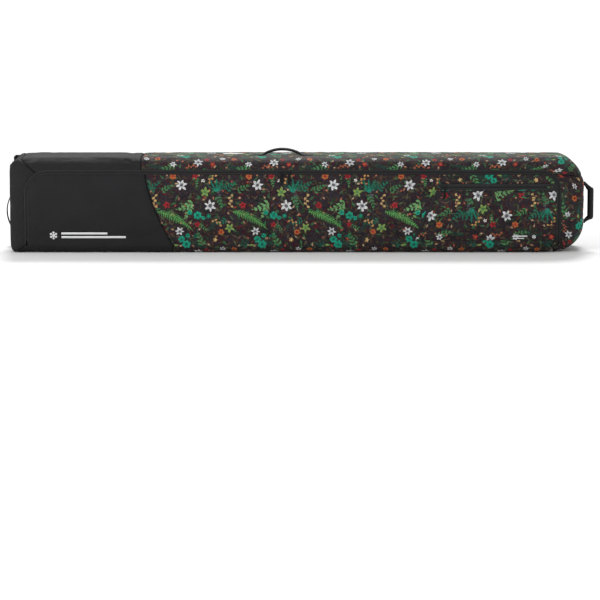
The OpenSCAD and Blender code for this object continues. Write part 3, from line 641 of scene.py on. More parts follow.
def arch_path(grow, step, bottom):
    """Points and outward normals along the zip's arch, from the wheel end's foot to the nose's."""
    zc0, zc1 = ZIP_Z - ZIP_R0, ZIP_Z - ZIP_R1
    xc0, xc1 = ZIP_X0 + ZIP_R0, ZIP_X1 - ZIP_R1
    out = []
    for z in np.linspace(bottom, zc0, max(2, int((zc0 - bottom) / step)), endpoint=False):
        out.append((xc0 - ZIP_R0 - grow, z, -1, 0))
    for a in np.linspace(math.pi, math.pi / 2, max(6, int(ZIP_R0 * 1.57 / step)), endpoint=False):
        c, s = math.cos(a), math.sin(a)
        out.append((xc0 + (ZIP_R0 + grow) * c, zc0 + (ZIP_R0 + grow) * s, c, s))
    for x in np.linspace(xc0, xc1, int((xc1 - xc0) / step), endpoint=False):
        out.append((x, ZIP_Z + grow, 0, 1))
    for a in np.linspace(math.pi / 2, 0, max(6, int(ZIP_R1 * 1.57 / step)), endpoint=False):
        c, s = math.cos(a), math.sin(a)
        out.append((xc1 + (ZIP_R1 + grow) * c, zc1 + (ZIP_R1 + grow) * s, c, s))
    for z in np.linspace(zc1, bottom, max(2, int((zc1 - bottom) / step))):
        out.append((xc1 + ZIP_R1 + grow, z, 1, 0))
    return np.array(out)


def lengths(points):
    return np.concatenate([[0], np.cumsum(np.linalg.norm(np.diff(points, axis=0), axis=1))])


def split_x(z):
    """Where black cloth meets print on the lid: a sweep towards the nose at the bottom."""
    return SPLIT_X + SWEEP * ((253 - np.asarray(z, float)) / 253) ** 1.6


def outline_samples():
    """Places and outward normals round the outline, with the index where each stretch starts."""
    xe, xn = X_END + END_R, X_NOSE - NOSE_R
    out, starts = [], {}

    def straight(name, x0, z0, x1, z1, nx, nz):
        n = max(1, round(math.hypot(x1 - x0, z1 - z0) / STEP))
        starts[name] = len(out)
        for k in range(n):
            out.append((x0 + (x1 - x0) * k / n, z0 + (z1 - z0) * k / n, nx, nz))

    def corner(name, cx, cz, r, a0, a1):
        n = 2 * max(2, round(r * math.radians(abs(a1 - a0)) / STEP / 1.7))
        starts[name] = len(out)
        for k in range(n):
            a = math.radians(a0 + (a1 - a0) * k / n)
            out.append((cx + r * math.cos(a), cz + r * math.sin(a), math.cos(a), math.sin(a)))

    straight("top_black", xe, TOP, PRINT_X, TOP, 0, 1)
    straight("top_print", PRINT_X, TOP, xn, TOP, 0, 1)
    corner("top_turn", xn, TOP - NOSE_R, NOSE_R, 90, 22)
    corner("nose", xn, TOP - NOSE_R, NOSE_R, 22, 0)
    straight("nose_side", X_NOSE, TOP - NOSE_R, X_NOSE, NOSE_R, 1, 0)
    corner("nose_low", xn, NOSE_R, NOSE_R, 0, -90)
    straight("bottom_print", xn, 0, PRINT_X, 0, 0, -1)
    straight("bottom_black", PRINT_X, 0, X_END + FOOT_R, 0, 0, -1)
    corner("end", X_END + FOOT_R, FOOT_R, FOOT_R, -90, -180)
    straight("end_side", X_END, FOOT_R, X_END, TOP - END_R, -1, 0)
    corner("end_top", xe, TOP - END_R, END_R, 180, 90)
    starts["last"] = len(out)
    return np.array(out), starts


def inner_loop(samples):
    """For each outline sample, the place on the zip's outer edge or the hinge that it runs to."""
    grow = TAPE + 0.4
    arch = arch_path(grow, 2.0, STRIP_LOW)[:, :2]
    foot = np.linspace(arch[-1], arch[0], 700)[1:-1]
    loop = np.concatenate([arch, foot, arch[:1]])
    run = lengths(loop)
    closed = np.concatenate([samples[:, :2], samples[:1, :2]])
    outer = lengths(closed)

    def turn(x, z, r, degrees):
        return x + r * math.cos(math.radians(degrees)), z + r * math.sin(math.radians(degrees))

    pairs = [
        ((-650, TOP), (-650, ZIP_Z + grow)), ((640, TOP), (640, ZIP_Z + grow)),
        ((785, TOP), (745, ZIP_Z + grow)), (turn(785, 197, 90, 22), turn(738, 192, 66.5, 55)),
        ((X_NOSE, 120), (ZIP_X1 + grow, 120)), ((818, 6), (ZIP_X1 + grow, STRIP_LOW)),
        ((700, 0), (700, STRIP_LOW)), ((-800, 0), (-800, STRIP_LOW)),
        (turn(X_END + FOOT_R, FOOT_R, FOOT_R, 225), (ZIP_X0 - grow, STRIP_LOW)),
        ((X_END, 80), (ZIP_X0 - grow, 80)),
        ((X_END, 150), (ZIP_X0 - grow, 150)),
        (turn(X_END + END_R, TOP - END_R, END_R, 135), turn(-761, 182, 76.5, 135)),
    ]
    a = np.array([outer[np.argmin(np.linalg.norm(closed[:-1] - p, axis=1))] for p, _ in pairs])
    b = np.array([run[np.argmin(np.linalg.norm(loop[:-1] - q, axis=1))] for _, q in pairs])
    b[b < b[0]] += run[-1]
    a = np.concatenate([[a[-1] - outer[-1]], a, [a[0] + outer[-1]]])
    b = np.concatenate([[b[-1] - run[-1]], b, [b[0] + run[-1]]])
    at_run = np.interp(outer[:-1], a, b) % run[-1]
    return np.stack([np.interp(at_run, run, loop[:, k]) for k in (0, 1)], 1)


REAR_ROWS, SIDE_ROWS, FRONT_ROWS = 4, 14, 11


def shell_grid():
    """The gusset all round the bag, from its rear seam over the front roundover to the zip."""
    samples, starts = outline_samples()
    goal = inner_loop(samples)
    n = len(samples)
    grid = np.zeros((n, REAR_ROWS + SIDE_ROWS + FRONT_ROWS, 3))
    w = np.linspace(0, 1, 90) ** 1.6
    for i, (x, z, nx, nz) in enumerate(samples):
        rows = []
        for k in range(REAR_ROWS):
            a = math.radians(45 * (1 - k / (REAR_ROWS - 1)))
            d = REAR_R * (1 - math.cos(a))
            rows.append((x - nx * d, Y_BACK - REAR_R + REAR_R * math.sin(a), z - nz * d))
        px, pz = x + (goal[i, 0] - x) * w, z + (goal[i, 1] - z) * w
        front = np.stack([px, front_y(px, pz), pz], 1)
        low, high = front[0][1], Y_BACK - REAR_R
        for k in range(1, SIDE_ROWS + 1):
            rows.append((x, high + (low - high) * k / (SIDE_ROWS + 1), z))
        run = lengths(front)
        marks = np.concatenate([np.linspace(0, run[-1] - 3, FRONT_ROWS - 1), [run[-1]]])
        rows += list(np.stack([np.interp(marks, run, front[:, c]) for c in range(3)], 1))
        grid[i] = rows
    lean = smooth((20 - grid[..., 1]) / 90) * (grid[..., 2] < 60)
    ramp = np.interp(grid[..., 0], [X_END + END_R, PRINT_X, 120], [0, 1, 0])
    grid[..., 0] += ramp * lean * (split_x(STRIP_LOW) - PRINT_X)
    return grid, samples, starts


def columns(left, right, seam, radii, counts):
    """Places along the bag, closer together round its corners, and the index of the one at a seam."""
    xs = [left - radii[0] * math.cos(t) for t in np.linspace(0, math.pi / 2, counts[0], endpoint=False)]
    xs += list(np.linspace(left, seam, round((seam - left) / STEP), endpoint=False))
    split = len(xs)
    xs += list(np.linspace(seam, right, round((right - seam) / STEP), endpoint=False))
    xs += [right + radii[1] * math.sin(t) for t in np.linspace(0, math.pi / 2, counts[1])]
    return np.array(xs), split


def crown(x, z):
    """How far the padded lid swells between its seams."""
    inset = np.minimum(arch_inset(x, z, -TAPE), np.asarray(z, float) - STRIP_HIGH)
    swell = 3.2 * smooth(inset / 60) + 0.8 * np.sin(np.asarray(x) * 0.021) * smooth(inset / 50)
    band = smooth((np.asarray(x) - 370) / 50) * smooth((42 - abs(np.asarray(z) - POCKET_ZIP_Z)) / 28)
    return swell * (1 - band)


def lid_grid():
    """The lid inside its zip, and the column where black meets print."""
    grow = -TAPE - 0.4
    xs, split = columns(ZIP_X0 + ZIP_R0, ZIP_X1 - ZIP_R1, SPLIT_X, (ZIP_R0 + grow, ZIP_R1 + grow), (8, 7))
    v = np.concatenate([[0, 0.015], np.linspace(0.06, 0.94, 17), [0.985, 1]])
    tops = arch_top(xs, grow)
    grid = np.zeros((len(xs), len(v), 3))
    for i, (x, top) in enumerate(zip(xs, tops, strict=True)):
        z = STRIP_HIGH + v * (top - STRIP_HIGH)
        ramp = np.interp(x, [xs[0], SPLIT_X, 150, xs[-1]], [0, 1, 0, 0])
        grid[i, :, 0] = x + ramp * (split_x(z) - SPLIT_X)
        grid[i, :, 2] = z
    grid[..., 1] = front_y(grid[..., 0], grid[..., 2]) - crown(grid[..., 0], grid[..., 2])
    return grid, split


def back_grid():
    """The back, rounded at its corners, and the column of the base seam."""
    d = REAR_R * (1 - math.sqrt(0.5))
    r0, r1, foot = END_R - d, NOSE_R - d, FOOT_R - d
    left, right = X_END + END_R, X_NOSE - NOSE_R
    xs, split = columns(left, right, BASE_SEAM, (r0, r1), (6, 10))
    v = np.concatenate([[0, 0.012], np.linspace(0.05, 0.95, 19), [0.988, 1]])
    grid = np.zeros((len(xs), len(v), 3))
    for i, x in enumerate(xs):
        low = high = d
        if x < X_END + FOOT_R:
            low = FOOT_R - math.sqrt(max(foot**2 - (x - X_END - FOOT_R) ** 2, 0))
        if x < left:
            high = END_R - math.sqrt(max(r0**2 - (x - left) ** 2, 0))
        if x > right:
            low = high = NOSE_R - math.sqrt(max(r1**2 - (x - right) ** 2, 0))
        z = low + v * (TOP - low - high)
        grid[i, :, 0], grid[i, :, 2] = x, z
        short = np.clip(REAR_R - depth(x, z), 0, REAR_R)
        grid[i, :, 1] = Y_BACK - REAR_R + np.sqrt(REAR_R**2 - short**2)
    return grid, split


# ---------------------------------------------------------------- meshes

def quads(n, m, base=0, loop=False):
    i, j = np.meshgrid(np.arange(n if loop else n - 1), np.arange(m - 1), indexing="ij")
    a, b = base + i * m + j, base + (i + 1) % n * m + j
    return np.stack([a, b, b + 1, a + 1], -1).reshape(-1, 4)


def rim_of(n, m):
    """The indices round the edge of an n by m grid."""
    edge = [i * m for i in range(n)] + [(n - 1) * m + j for j in range(1, m)]
    return edge + [i * m + m - 1 for i in range(n - 2, -1, -1)] + list(range(m - 2, 0, -1))


def closed_faces(n, m, base=0):
    """Faces of a closed form of two layers of n by m points: its front, its back and its sides."""
    size, ring = n * m, rim_of(n, m)
    front = quads(n, m, base)
    sides = [(a + size, b + size, b, a) for a, b in zip(ring, ring[1:] + ring[:1], strict=True)]
    return front, front[:, ::-1] + size, np.array(sides) + base


def tube_faces(n, k, turned=False):
    """Faces of a closed tube of n rings of k points, turned if the rings run the other way round."""
    faces = [(i * k + j, i * k + (j + 1) % k, (i + 1) * k + (j + 1) % k, (i + 1) * k + j)
             for i in range(n - 1) for j in range(k)]
    faces += [tuple(range(k - 1, -1, -1)), tuple(range((n - 1) * k, n * k))]
    return [(face[0], *face[:0:-1]) for face in faces] if turned else faces


def rounded(obj, levels):
    if levels:
        sub = obj.modifiers.new("smooth", "SUBSURF")
        sub.levels = sub.render_levels = levels
        sub.boundary_smooth = "PRESERVE_CORNERS"
    return obj


def mesh_object(name, points, faces, mats, cloth_at=None, seam=None, looks=None):
    mesh = bpy.data.meshes.new(name)
    points = np.asarray(points, float).reshape(-1, 3) * MM + np.array(ORIGIN)
    mesh.from_pydata(points.tolist(), [], [tuple(int(i) for i in f) for f in faces])
    for label, values in (("cloth", cloth_at), ("seam", seam)):
        if values is None:
            continue
        attribute = mesh.attributes.new(label, "FLOAT_VECTOR", "POINT")
        attribute.data.foreach_set("vector", np.asarray(values, np.float32).ravel())
    for m in mats:
        mesh.materials.append(m)
    mesh.polygons.foreach_set("use_smooth", [True] * len(mesh.polygons))
    if looks is not None:
        mesh.polygons.foreach_set("material_index", np.asarray(looks, np.int32))
    mesh.update()
    obj = bpy.data.objects.new(name, mesh)
    bpy.context.scene.collection.objects.link(obj)
    return obj


def grid_normals(grid, loop=False):
    """Unit normals of a grid, out of the side that the winding of its quads faces."""
    if loop:
        du = np.roll(grid, -1, 0) - np.roll(grid, 1, 0)
    else:
        du = np.gradient(grid, axis=0)
    n = np.cross(du, np.gradient(grid, axis=1))
    size = np.linalg.norm(n, axis=-1, keepdims=True)
    return n / np.maximum(size, 1e-9)


def grid_runs(grid):
    """Arc lengths along both directions of a grid."""
    du = np.linalg.norm(np.diff(grid, axis=0), axis=-1)
    dv = np.linalg.norm(np.diff(grid, axis=1), axis=-1)
    u = np.concatenate([np.zeros((1, grid.shape[1])), np.cumsum(du, 0)])
    v = np.concatenate([np.zeros((grid.shape[0], 1)), np.cumsum(dv, 1)], 1)
    return u, v


def edge_distances(grid, open_edges):
    """Distance from the two pairs of edges; an edge named in open_edges carries no seam.

    The edges are w and e, the first and last column, and s and n, the first and last row."""
    u, v = grid_runs(grid)
    far = 1000.0
    a = np.minimum(u + far * ("w" in open_edges), u[-1:] - u + far * ("e" in open_edges))
    b = np.minimum(v + far * ("s" in open_edges), v[:, -1:] - v + far * ("n" in open_edges))
    return b, a, u + v


def form(name, outer, cloth_at, mats, thick, normals=None, open_edges="", thin=2.2, levels=1):
    """A closed form: a grid of cloth outside, padding behind it, pinched thin at its seams."""
    n, m = outer.shape[:2]
    across, along, run = edge_distances(outer, open_edges)
    normals = grid_normals(outer) if normals is None else normals
    near = np.minimum(across, along)
    t = np.minimum(thin, thick) + (thick - np.minimum(thin, thick)) * smooth(near / PINCH)
    inner = outer - normals * t[..., None]
    front, back, sides = closed_faces(n, m)
    seam = np.stack([across, along, run], -1).reshape(-1, 3)
    far = seam + (60, 60, 0)
    stack = np.concatenate([outer.reshape(-1, 3), inner.reshape(-1, 3)])
    cloth3 = np.concatenate([cloth_at, np.zeros((n, m, 1))], -1).reshape(-1, 3) * MM
    looks = np.concatenate([np.zeros(len(front)), np.ones(len(back)), np.zeros(len(sides))])
    obj = mesh_object(name, stack, np.concatenate([front, back, sides]), mats, np.concatenate([cloth3] * 2),
                      np.concatenate([seam, far]), looks if len(mats) > 1 else None)
    keep_edges(obj.data, n, m, open_edges)
    return rounded(obj, levels)


def keep_edges(mesh, n, m, open_edges):
    """Leaves the edges where one piece runs on into the next one crisp, in shape and in shading."""
    ends = np.empty(len(mesh.edges) * 2, np.int64)
    mesh.edges.foreach_get("vertices", ends)
    column, row = ends.reshape(-1, 2) % (n * m) // m, ends.reshape(-1, 2) % m
    same_layer = np.ptp(ends.reshape(-1, 2) // (n * m), axis=1) == 0
    sides = {"w": column == 0, "e": column == n - 1, "s": row == 0, "n": row == m - 1}
    hard = np.zeros(len(column), bool)
    for letter in open_edges:
        hard |= sides[letter].all(axis=1) & same_layer
    for label, kind in (("crease_edge", "FLOAT"), ("sharp_edge", "BOOLEAN")):
        values = hard.astype(np.float32) if kind == "FLOAT" else hard
        attribute = mesh.attributes.get(label) or mesh.attributes.new(label, kind, "EDGE")
        attribute.data.foreach_set("value", values)


def relax(grid, pinned, pressure, spare, cap, loop=False):
    """Blows a grid of cloth up a little between its pinned seams, and returns it, moved at most cap."""
    n, m = grid.shape[:2]
    flat = grid.reshape(-1, 3)
    obj = mesh_object("relaxing", flat, quads(n, m, loop=loop), [])
    group = obj.vertex_groups.new(name="pin")
    group.add(np.flatnonzero(pinned.ravel()).tolist(), 1.0, "REPLACE")
    mod = obj.modifiers.new("cloth", "CLOTH")
    s = mod.settings
    s.quality, s.mass = 4, 0.25
    s.tension_stiffness = s.compression_stiffness = 12.0
    s.shear_stiffness, s.bending_stiffness = 6.0, 0.6
    s.tension_damping = s.compression_damping = 12
    s.vertex_group_mass, s.pin_stiffness = "pin", 1.0
    s.use_pressure, s.uniform_pressure_force = True, pressure
    s.shrink_min = s.shrink_max = -spare
    s.effector_weights.gravity = 0
    mod.collision_settings.use_self_collision = False
    mod.point_cache.frame_start, mod.point_cache.frame_end = 1, FRAMES
    scene = bpy.context.scene
    for f in range(1, FRAMES + 1):
        scene.frame_set(f)
    eval_obj = obj.evaluated_get(bpy.context.evaluated_depsgraph_get())
    moved = np.zeros(n * m * 3)
    eval_obj.data.vertices.foreach_get("co", moved)
    moved = (moved.reshape(-1, 3) - np.array(ORIGIN)) / MM
    scene.frame_set(1)
    mesh = obj.data
    bpy.data.objects.remove(obj)
    bpy.data.meshes.remove(mesh)
    shift = moved - flat
    size = np.linalg.norm(shift, axis=1, keepdims=True)
    shift *= np.minimum(1, cap / np.maximum(size, 1e-6))
    return (flat + shift).reshape(n, m, 3)


def applied(obj):
    """Puts what an object's modifiers make into its mesh."""
    old = obj.data
    obj.data = bpy.data.meshes.new_from_object(obj.evaluated_get(bpy.context.evaluated_depsgraph_get()))
    obj.modifiers.clear()
    obj.data.name = obj.name
    return old


def carved(obj, cutters):
    """Cuts boxes, each (low, high) in millimetres, out of an object."""
    bpy.data.meshes.remove(applied(obj))
    boxes = []
    for low, high in cutters:
        pts = [(x, y, z) for x in (low[0], high[0]) for y in (low[1], high[1]) for z in (low[2], high[2])]
        faces = [(0, 1, 3, 2), (4, 6, 7, 5), (0, 4, 5, 1), (2, 3, 7, 6), (0, 2, 6, 4), (1, 5, 7, 3)]
        box = mesh_object("cutter", pts, faces, [])
        mod = obj.modifiers.new("cut", "BOOLEAN")
        mod.operation, mod.object, mod.solver = "DIFFERENCE", box, "EXACT"
        boxes.append(box)
    whole = applied(obj)
    copy_back(whole, obj.data)
    bpy.data.meshes.remove(whole)
    for box in boxes:
        bpy.data.objects.remove(box)


def copy_back(whole, cut):
    """The cut leaves a mesh's attributes empty: each point takes those of the nearest old one."""
    tree = KDTree(len(whole.vertices))
    for v in whole.vertices:
        tree.insert(v.co, v.index)
    tree.balance()
    nearest = [tree.find(v.co)[1] for v in cut.vertices]
    for label in ("cloth", "seam"):
        values = np.zeros(len(whole.vertices) * 3, np.float32)
        whole.attributes[label].data.foreach_get("vector", values)
        cut.attributes[label].data.foreach_set("vector", values.reshape(-1, 3)[nearest].ravel())


# ---------------------------------------------------------------- the padded body

def finish_piece(obj, body, replaces=()):
    if body:
        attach(obj, body)
    if replaces:
        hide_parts(*replaces)
    return obj


def wells(grow=0.0):
    """The two pockets that the wheel housings sit in."""
    half = WELL_HALF + grow
    return [((X_END - 60, WELL_Y - grow, z - half), (WELL_X + grow, Y_BACK + 60, z + half))
            for z in WHEEL_Z]


def keep_clear(grid):
    """Holds the cloth off the floor, the housings, the handles' feet and the tow handle's tabs."""
    x, y, z = grid[..., 0], grid[..., 1], grid[..., 2]
    z[...] = np.clip(z, 0.3, 289.4)
    near = (abs(x - SIDE_X) < 112) & (abs(y) < 26) & (z > 200)
    z[near] = np.minimum(z[near], 286.9)
    for zw in WHEEL_Z:
        near = (x < -850) & (y > 50) & (abs(z - zw) < 48)
        x[near] = np.maximum(x[near], X_END + 0.1)
    near = (x < -850) & (abs(y) < 24) & (z > 17) & (z < 217)
    x[near] = np.maximum(x[near], X_END)
    near = (x > 850) & (abs(y) < 80) & (z > 66) & (z < 220)
    x[near] = np.minimum(x[near], X_NOSE)
    return grid


def relaxed_shell():
    grid, samples, starts = shell_grid()
    grid = grid[:, ::-1].copy()
    rim = FRONT_ROWS - 1
    n, m = grid.shape[:2]
    seams = [starts[k] for k in ("top_black", "top_print", "nose", "bottom_print", "bottom_black", "end")]
    pinned = np.zeros((n, m), bool)
    pinned[:, [0, m - 1]] = True
    pinned[seams] = True
    nose = slice(starts["nose"], starts["bottom_print"] + 1)
    pinned[nose, rim] = True
    x, y, z = grid[..., 0], grid[..., 1], grid[..., 2]
    pinned |= (x < -850) & (y > 40) & (np.minimum(abs(z - WHEEL_Z[0]), abs(z - WHEEL_Z[1])) < 46)
    calm = np.ones((n, m, 1))
    calm[starts["bottom_print"]:starts["end"], :, 0] = smooth(grid_runs(grid)[1] / 30)[
        starts["bottom_print"]:starts["end"]]
    still = keep_clear(grid.copy())
    grid = keep_clear(grid + (relax(grid, pinned, 3.0, 0.018, 4.0, loop=True) - grid) * calm)
    normals = grid_normals(grid, loop=True)
    dip = np.zeros((n, m))
    dip[seams] = 1.5
    dip[:, m - 1] = 1.2
    front_seam = np.ones(n, bool)
    front_seam[starts["bottom_print"]:starts["end"]] = False
    dip[front_seam, 0] = 0.8
    dip[nose, rim] = 1.5
    return grid - normals * dip[..., None], normals, samples, starts, still


def shell_cloth(grid, samples, starts):
    """The print's coordinates: along the outline and up from the zip, or straight on below the hinge."""
    run = lengths(np.concatenate([samples[:, :2], samples[:1, :2]]))[:-1] + samples[0, 0]
    _, v = grid_runs(grid)
    out = np.stack([np.repeat(run[:, None], grid.shape[1], 1) + PRINT_SHIFT, v + ZIP_Z + TAPE], -1)
    low = slice(starts["bottom_print"], starts["end"] + 1)
    out[low, :, 0] = grid[low, :, 0] + PRINT_SHIFT
    out[low, :, 1] = STRIP_LOW - v[low]
    return out


def shell_pieces(m, shell):
    grid, normals, samples, starts, _ = shell
    print_at = shell_cloth(grid, samples, starts)
    n, rows = grid.shape[:2]
    rim = FRONT_ROWS - 1
    whole = (0, rows - 1)
    nose = (starts["nose"], starts["bottom_print"])
    plan = [
        ("top_gusset_black_pad", (0, starts["top_print"]), whole, "black",
         ("top_gusset_black", "top_foam"), ""),
        ("top_gusset_print_pad", (starts["top_print"], starts["nose"]), whole, "print",
         ("top_gusset_print",), ""),
        ("nose_rim_pad", nose, (0, rim), "print", ("nose_rim_panel",), ""),
        ("nose_gusset_pad", nose, (rim, rows - 1), "print", ("nose_gusset", "nose_foam"), ""),
        ("bottom_gusset_print_pad", (starts["bottom_print"], starts["bottom_black"]), whole, "print",
         ("bottom_gusset_print", "bottom_foam"), "s"),
        ("bottom_gusset_black_pad", (starts["bottom_black"], starts["end"]), whole, "black",
         ("bottom_gusset_black",), "s"),
        ("wheel_end_pad", (starts["end"], n), whole, "black", ("wheel_end_gusset", "wheel_end_foam"), ""),
    ]
    made = {}
    for name, (i0, i1), (j0, j1), look, nodes, open_edges in plan:
        idx = np.arange(i0, i1 + 1) % n
        cut = np.ix_(idx, np.arange(j0, j1 + 1))
        at_cloth = print_at[cut].copy()
        if i1 == n:
            at_cloth[-1, :, 0] = at_cloth[-2, :, 0] * 2 - at_cloth[-3, :, 0]
        obj = form(name, grid[cut], at_cloth, [m[look], m["lining"]], PAD, normals[cut], open_edges)
        if name == "wheel_end_pad":
            carved(obj, wells())
        made[name] = finish_piece(obj, "root", nodes)
    return made


def sewn(grid, split):
    """Which points of a panel are held by a seam: its edges and the column where two cloths meet."""
    held = np.zeros(grid.shape[:2], bool)
    held[[0, -1, split]] = True
    held[:, [0, -1]] = True
    return held


def relaxed_lid():
    grid, split = lid_grid()
    x, z = grid[..., 0], grid[..., 2]
    by_pocket_zip = (x > 425) & (x < 765) & (z > 189) & (z < 213)
    pinned = sewn(grid, split) | by_pocket_zip
    calm = smooth((z - STRIP_HIGH) / 30)[..., None]
    grid = grid + (relax(grid, pinned, 2.2, 0.016, 4.5) - grid) * calm
    x, z = grid[..., 0], grid[..., 2]
    grid[..., 1] = np.maximum(grid[..., 1], np.where(z > 198, LID_Y_HIGH, LID_Y_LOW))
    normals = grid_normals(grid)
    dip = np.zeros(grid.shape[:2])
    dip[split] = 1.4
    dip[:, -1] = 0.8
    dip[[0, -1]] = 0.8
    return grid - normals * dip[..., None], normals, split


def lid_pieces(m, lid):
    grid, normals, split = lid
    at_cloth = grid[..., (0, 2)] + (PRINT_SHIFT, 0)
    surfaces = []
    for look, part, nodes in (("black", slice(split + 1), ("lid_panel_black", "lid_foam")),
                              ("print", slice(split, None), ("lid_panel_print",))):
        obj = form(f"lid_panel_{look}_pad", grid[part], at_cloth[part], [m[look], m["lining"]], PAD,
                   normals[part], "s")
        surfaces.append(tree_of(obj))
        finish_piece(obj, "lid", nodes)
    return surfaces


def hinge_strips(m):
    """The cloth at the lid's hinge, which on the real bag bends as the lid opens; here it is two fixed
    strips, flush with the lid above and the gusset below.
    """
    z = np.linspace(STRIP_LOW, STRIP_HIGH, 10)
    ends = (np.full(len(z), ZIP_X0), split_x(z), np.full(len(z), ZIP_X1))
    for name, a, b, look in (("hinge_strip_black", 0, 1, "black"), ("hinge_strip_print", 1, 2, "print")):
        u = np.linspace(0, 1, round(abs(ends[b][0] - ends[a][0]) / STEP))[:, None]
        x = ends[a] + (ends[b] - ends[a]) * u
        zz = np.repeat(z[None], len(u), 0)
        grid = np.stack([x, front_y(x, zz), zz], -1)
        grid[[0 if a else -1]] += (0, 1.4, 0)
        at_cloth = grid[..., (0, 2)] + (PRINT_SHIFT, 0)
        obj = form(name, grid, at_cloth, [m[look], m["lining"]], PAD - 0.6, None, "ns")
        at(0, Y_LID, STRIP_LOW + 1)
        at(0, Y_LID, STRIP_HIGH - 1)
        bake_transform(obj)


def relaxed_back():
    """The back's grid seen from outside, its normals and the base seam's column."""
    grid, split = back_grid()
    on_base = grid[..., 0] < BASE_SEAM
    middle = np.minimum(depth(grid[..., 0], grid[..., 2]), grid[..., 0] - BASE_SEAM)
    grid[..., 1] += 2.6 * smooth((middle - 4) / 60) * (grid[..., 0] > BASE_SEAM)
    grid = relax(grid, sewn(grid, split) | on_base, 2.2, 0.015, 4.0)
    stiff = grid[..., 0] < BASE_SEAM + 1
    grid[..., 1] = np.minimum(grid[..., 1], np.where(stiff, Y_BACK, Y_BACK + 5.5))
    grid, split = grid[::-1].copy(), len(grid) - 1 - split
    normals = grid_normals(grid)
    dip = np.where(sewn(grid, split), 1.2, 0.0)
    dip[split, 1:-1] = 1.3
    return grid - normals * dip[..., None], normals, split


def back_pieces(m):
    """The back's cloth, and the base panel's with holes for the wheel housings."""
    grid, normals, split = relaxed_back()
    at_cloth = grid[..., (0, 2)] * (-1, 1)
    for node, part, look, behind in (("back_panel", slice(split + 1), "black", "back_foam_pad"),
                                     ("base_panel", slice(split, None), "base", "base_board")):
        obj = form(node + "_cloth", grid[part], at_cloth[part], [m[look]], SKIN, normals[part])
        if look == "base":
            carved(obj, wells())
        finish_piece(obj, "root", (node,))


def back_inside(m):
    """The foam behind the back's cloth, and the lining that covers it."""
    inner, _ = back_grid()
    inner = inner[abs(inner[:, 10, 0] - 7) < 862][::-1].copy()
    inner[..., 2] = TOP / 2 + (inner[..., 2] - TOP / 2) * 0.935
    inner[..., 1] = Y_BACK - 4.2
    pad = form("back_foam_pad", inner, inner[..., (0, 2)], [m["foam"]], 5.8, levels=0)
    carved(pad, wells(0.5))
    finish_piece(pad, "root", ("back_foam",))
    x = inner[..., 0]
    x[...] = np.interp(x, [x.min(), x.max()], [-LINING_HALF, LINING_HALF])
    inner[..., 2] = TOP / 2 + (inner[..., 2] - TOP / 2) * 1.019
    ripple = 0.7 * np.sin(x * 0.05 + 2 * np.sin(inner[..., 2] * 0.03))
    inner[..., 1] = LINING_Y - 0.4 - 0.4 * ripple
    lining = form("back_lining", inner, inner[..., (0, 2)], [m["lining"]], 0.8)
    carved(lining, wells(0.5))
    finish_piece(lining, "root")


def side_lining(m, shell):
    _, _, samples, starts, grid = shell
    normals = grid_normals(grid, loop=True)
    inner = grid - normals * (PAD + 0.9)
    inner = np.concatenate([inner, inner[:1]])
    ripple = np.sin(np.arange(len(inner)) * 0.9)[:, None] * np.sin(np.arange(inner.shape[1]) * 0.35)[None]
    inner -= np.concatenate([normals, normals[:1]]) * (0.35 + 0.35 * ripple)[..., None]
    inner = inner[:, 1:-1]
    print_at = shell_cloth(grid, samples, starts)
    print_at = np.concatenate([print_at, print_at[:1]])[:, 1:-1]
    obj = form("side_lining", inner, print_at, [m["lining"]], 0.8, None, "we", levels=0)
    carved(obj, wells(0.5))
    finish_piece(obj, "root", ("body_lining",))


def lid_lining(m, lid):
    grid, normals, _ = lid
    inner = (grid - normals * (PAD + 0.5))[1:-1, :-1]
    obj = form("lid_lining_cloth", inner, inner[..., (0, 2)], [m["lining"]], 0.8, None, "s")
    finish_piece(obj, "lid", ("lid_lining",))


# ---------------------------------------------------------------- pocket, zips, marks

def tree_of(obj):
    return BVHTree.FromObject(obj, bpy.context.evaluated_depsgraph_get())


def on_surface(trees, start, way):
    """Where a ray from start, in millimetres, first meets one of the surfaces; or None."""
    best = None
    for tree in trees:
        spot, _, _, gone = tree.ray_cast(at(*start), Vector(way))
        if spot is not None and (best is None or gone < best[1]):
            best = (in_mm(spot), gone)
    return best and best[0]


def y_in_front(trees, x, z, missed):
    spot = on_surface(trees, (x, Y_LID - 49, z), (0, 1, 0))
    return spot.y if spot else missed


def drape_front(grid, trees, proud):
    """Moves a grid of (x, any, z) onto the front, proud of it."""
    for row in grid.reshape(-1, 3):
        row[1] = y_in_front(trees, row[0], row[2], front_y(row[0], row[2])) - proud
    return grid


def pocket_panel(m, trees):
    """The pocket's panel, right of its slanted seam and below its zip."""
    z = np.concatenate([[POCKET_LOW, 41.5], np.linspace(48, 181, 13), [187.3, POCKET_HIGH]])
    left = np.interp(z, [POCKET_LOW, POCKET_HIGH], [352, 425])
    right = ZIP_X1 - TAPE - 1.2
    u = np.concatenate([[0, 0.008], np.linspace(0.03, 0.97, 34), [0.992, 1]])[:, None]
    x = left + (right - left) * u
    zz = np.repeat(z[None], len(u), 0)
    grid = drape_front(np.stack([x, x * 0, zz], -1), trees, 0.5)
    inside = np.minimum(np.minimum(x - left, right - x), np.minimum(zz - POCKET_LOW, POCKET_HIGH - zz))
    grid[..., 1] -= 1.2 * smooth(inside / 5) + 1.3 * smooth((inside - 5) / 50)
    grid[..., 1] = np.where(zz > 163, np.maximum(grid[..., 1], POCKET_Y), grid[..., 1])
    panel = form("pocket_panel_cloth", grid, grid[..., (0, 2)], [m["pocket"]], SKIN, thin=0.8)
    tree = tree_of(panel)
    finish_piece(panel, "lid", ("pocket_panel",))
    return tree


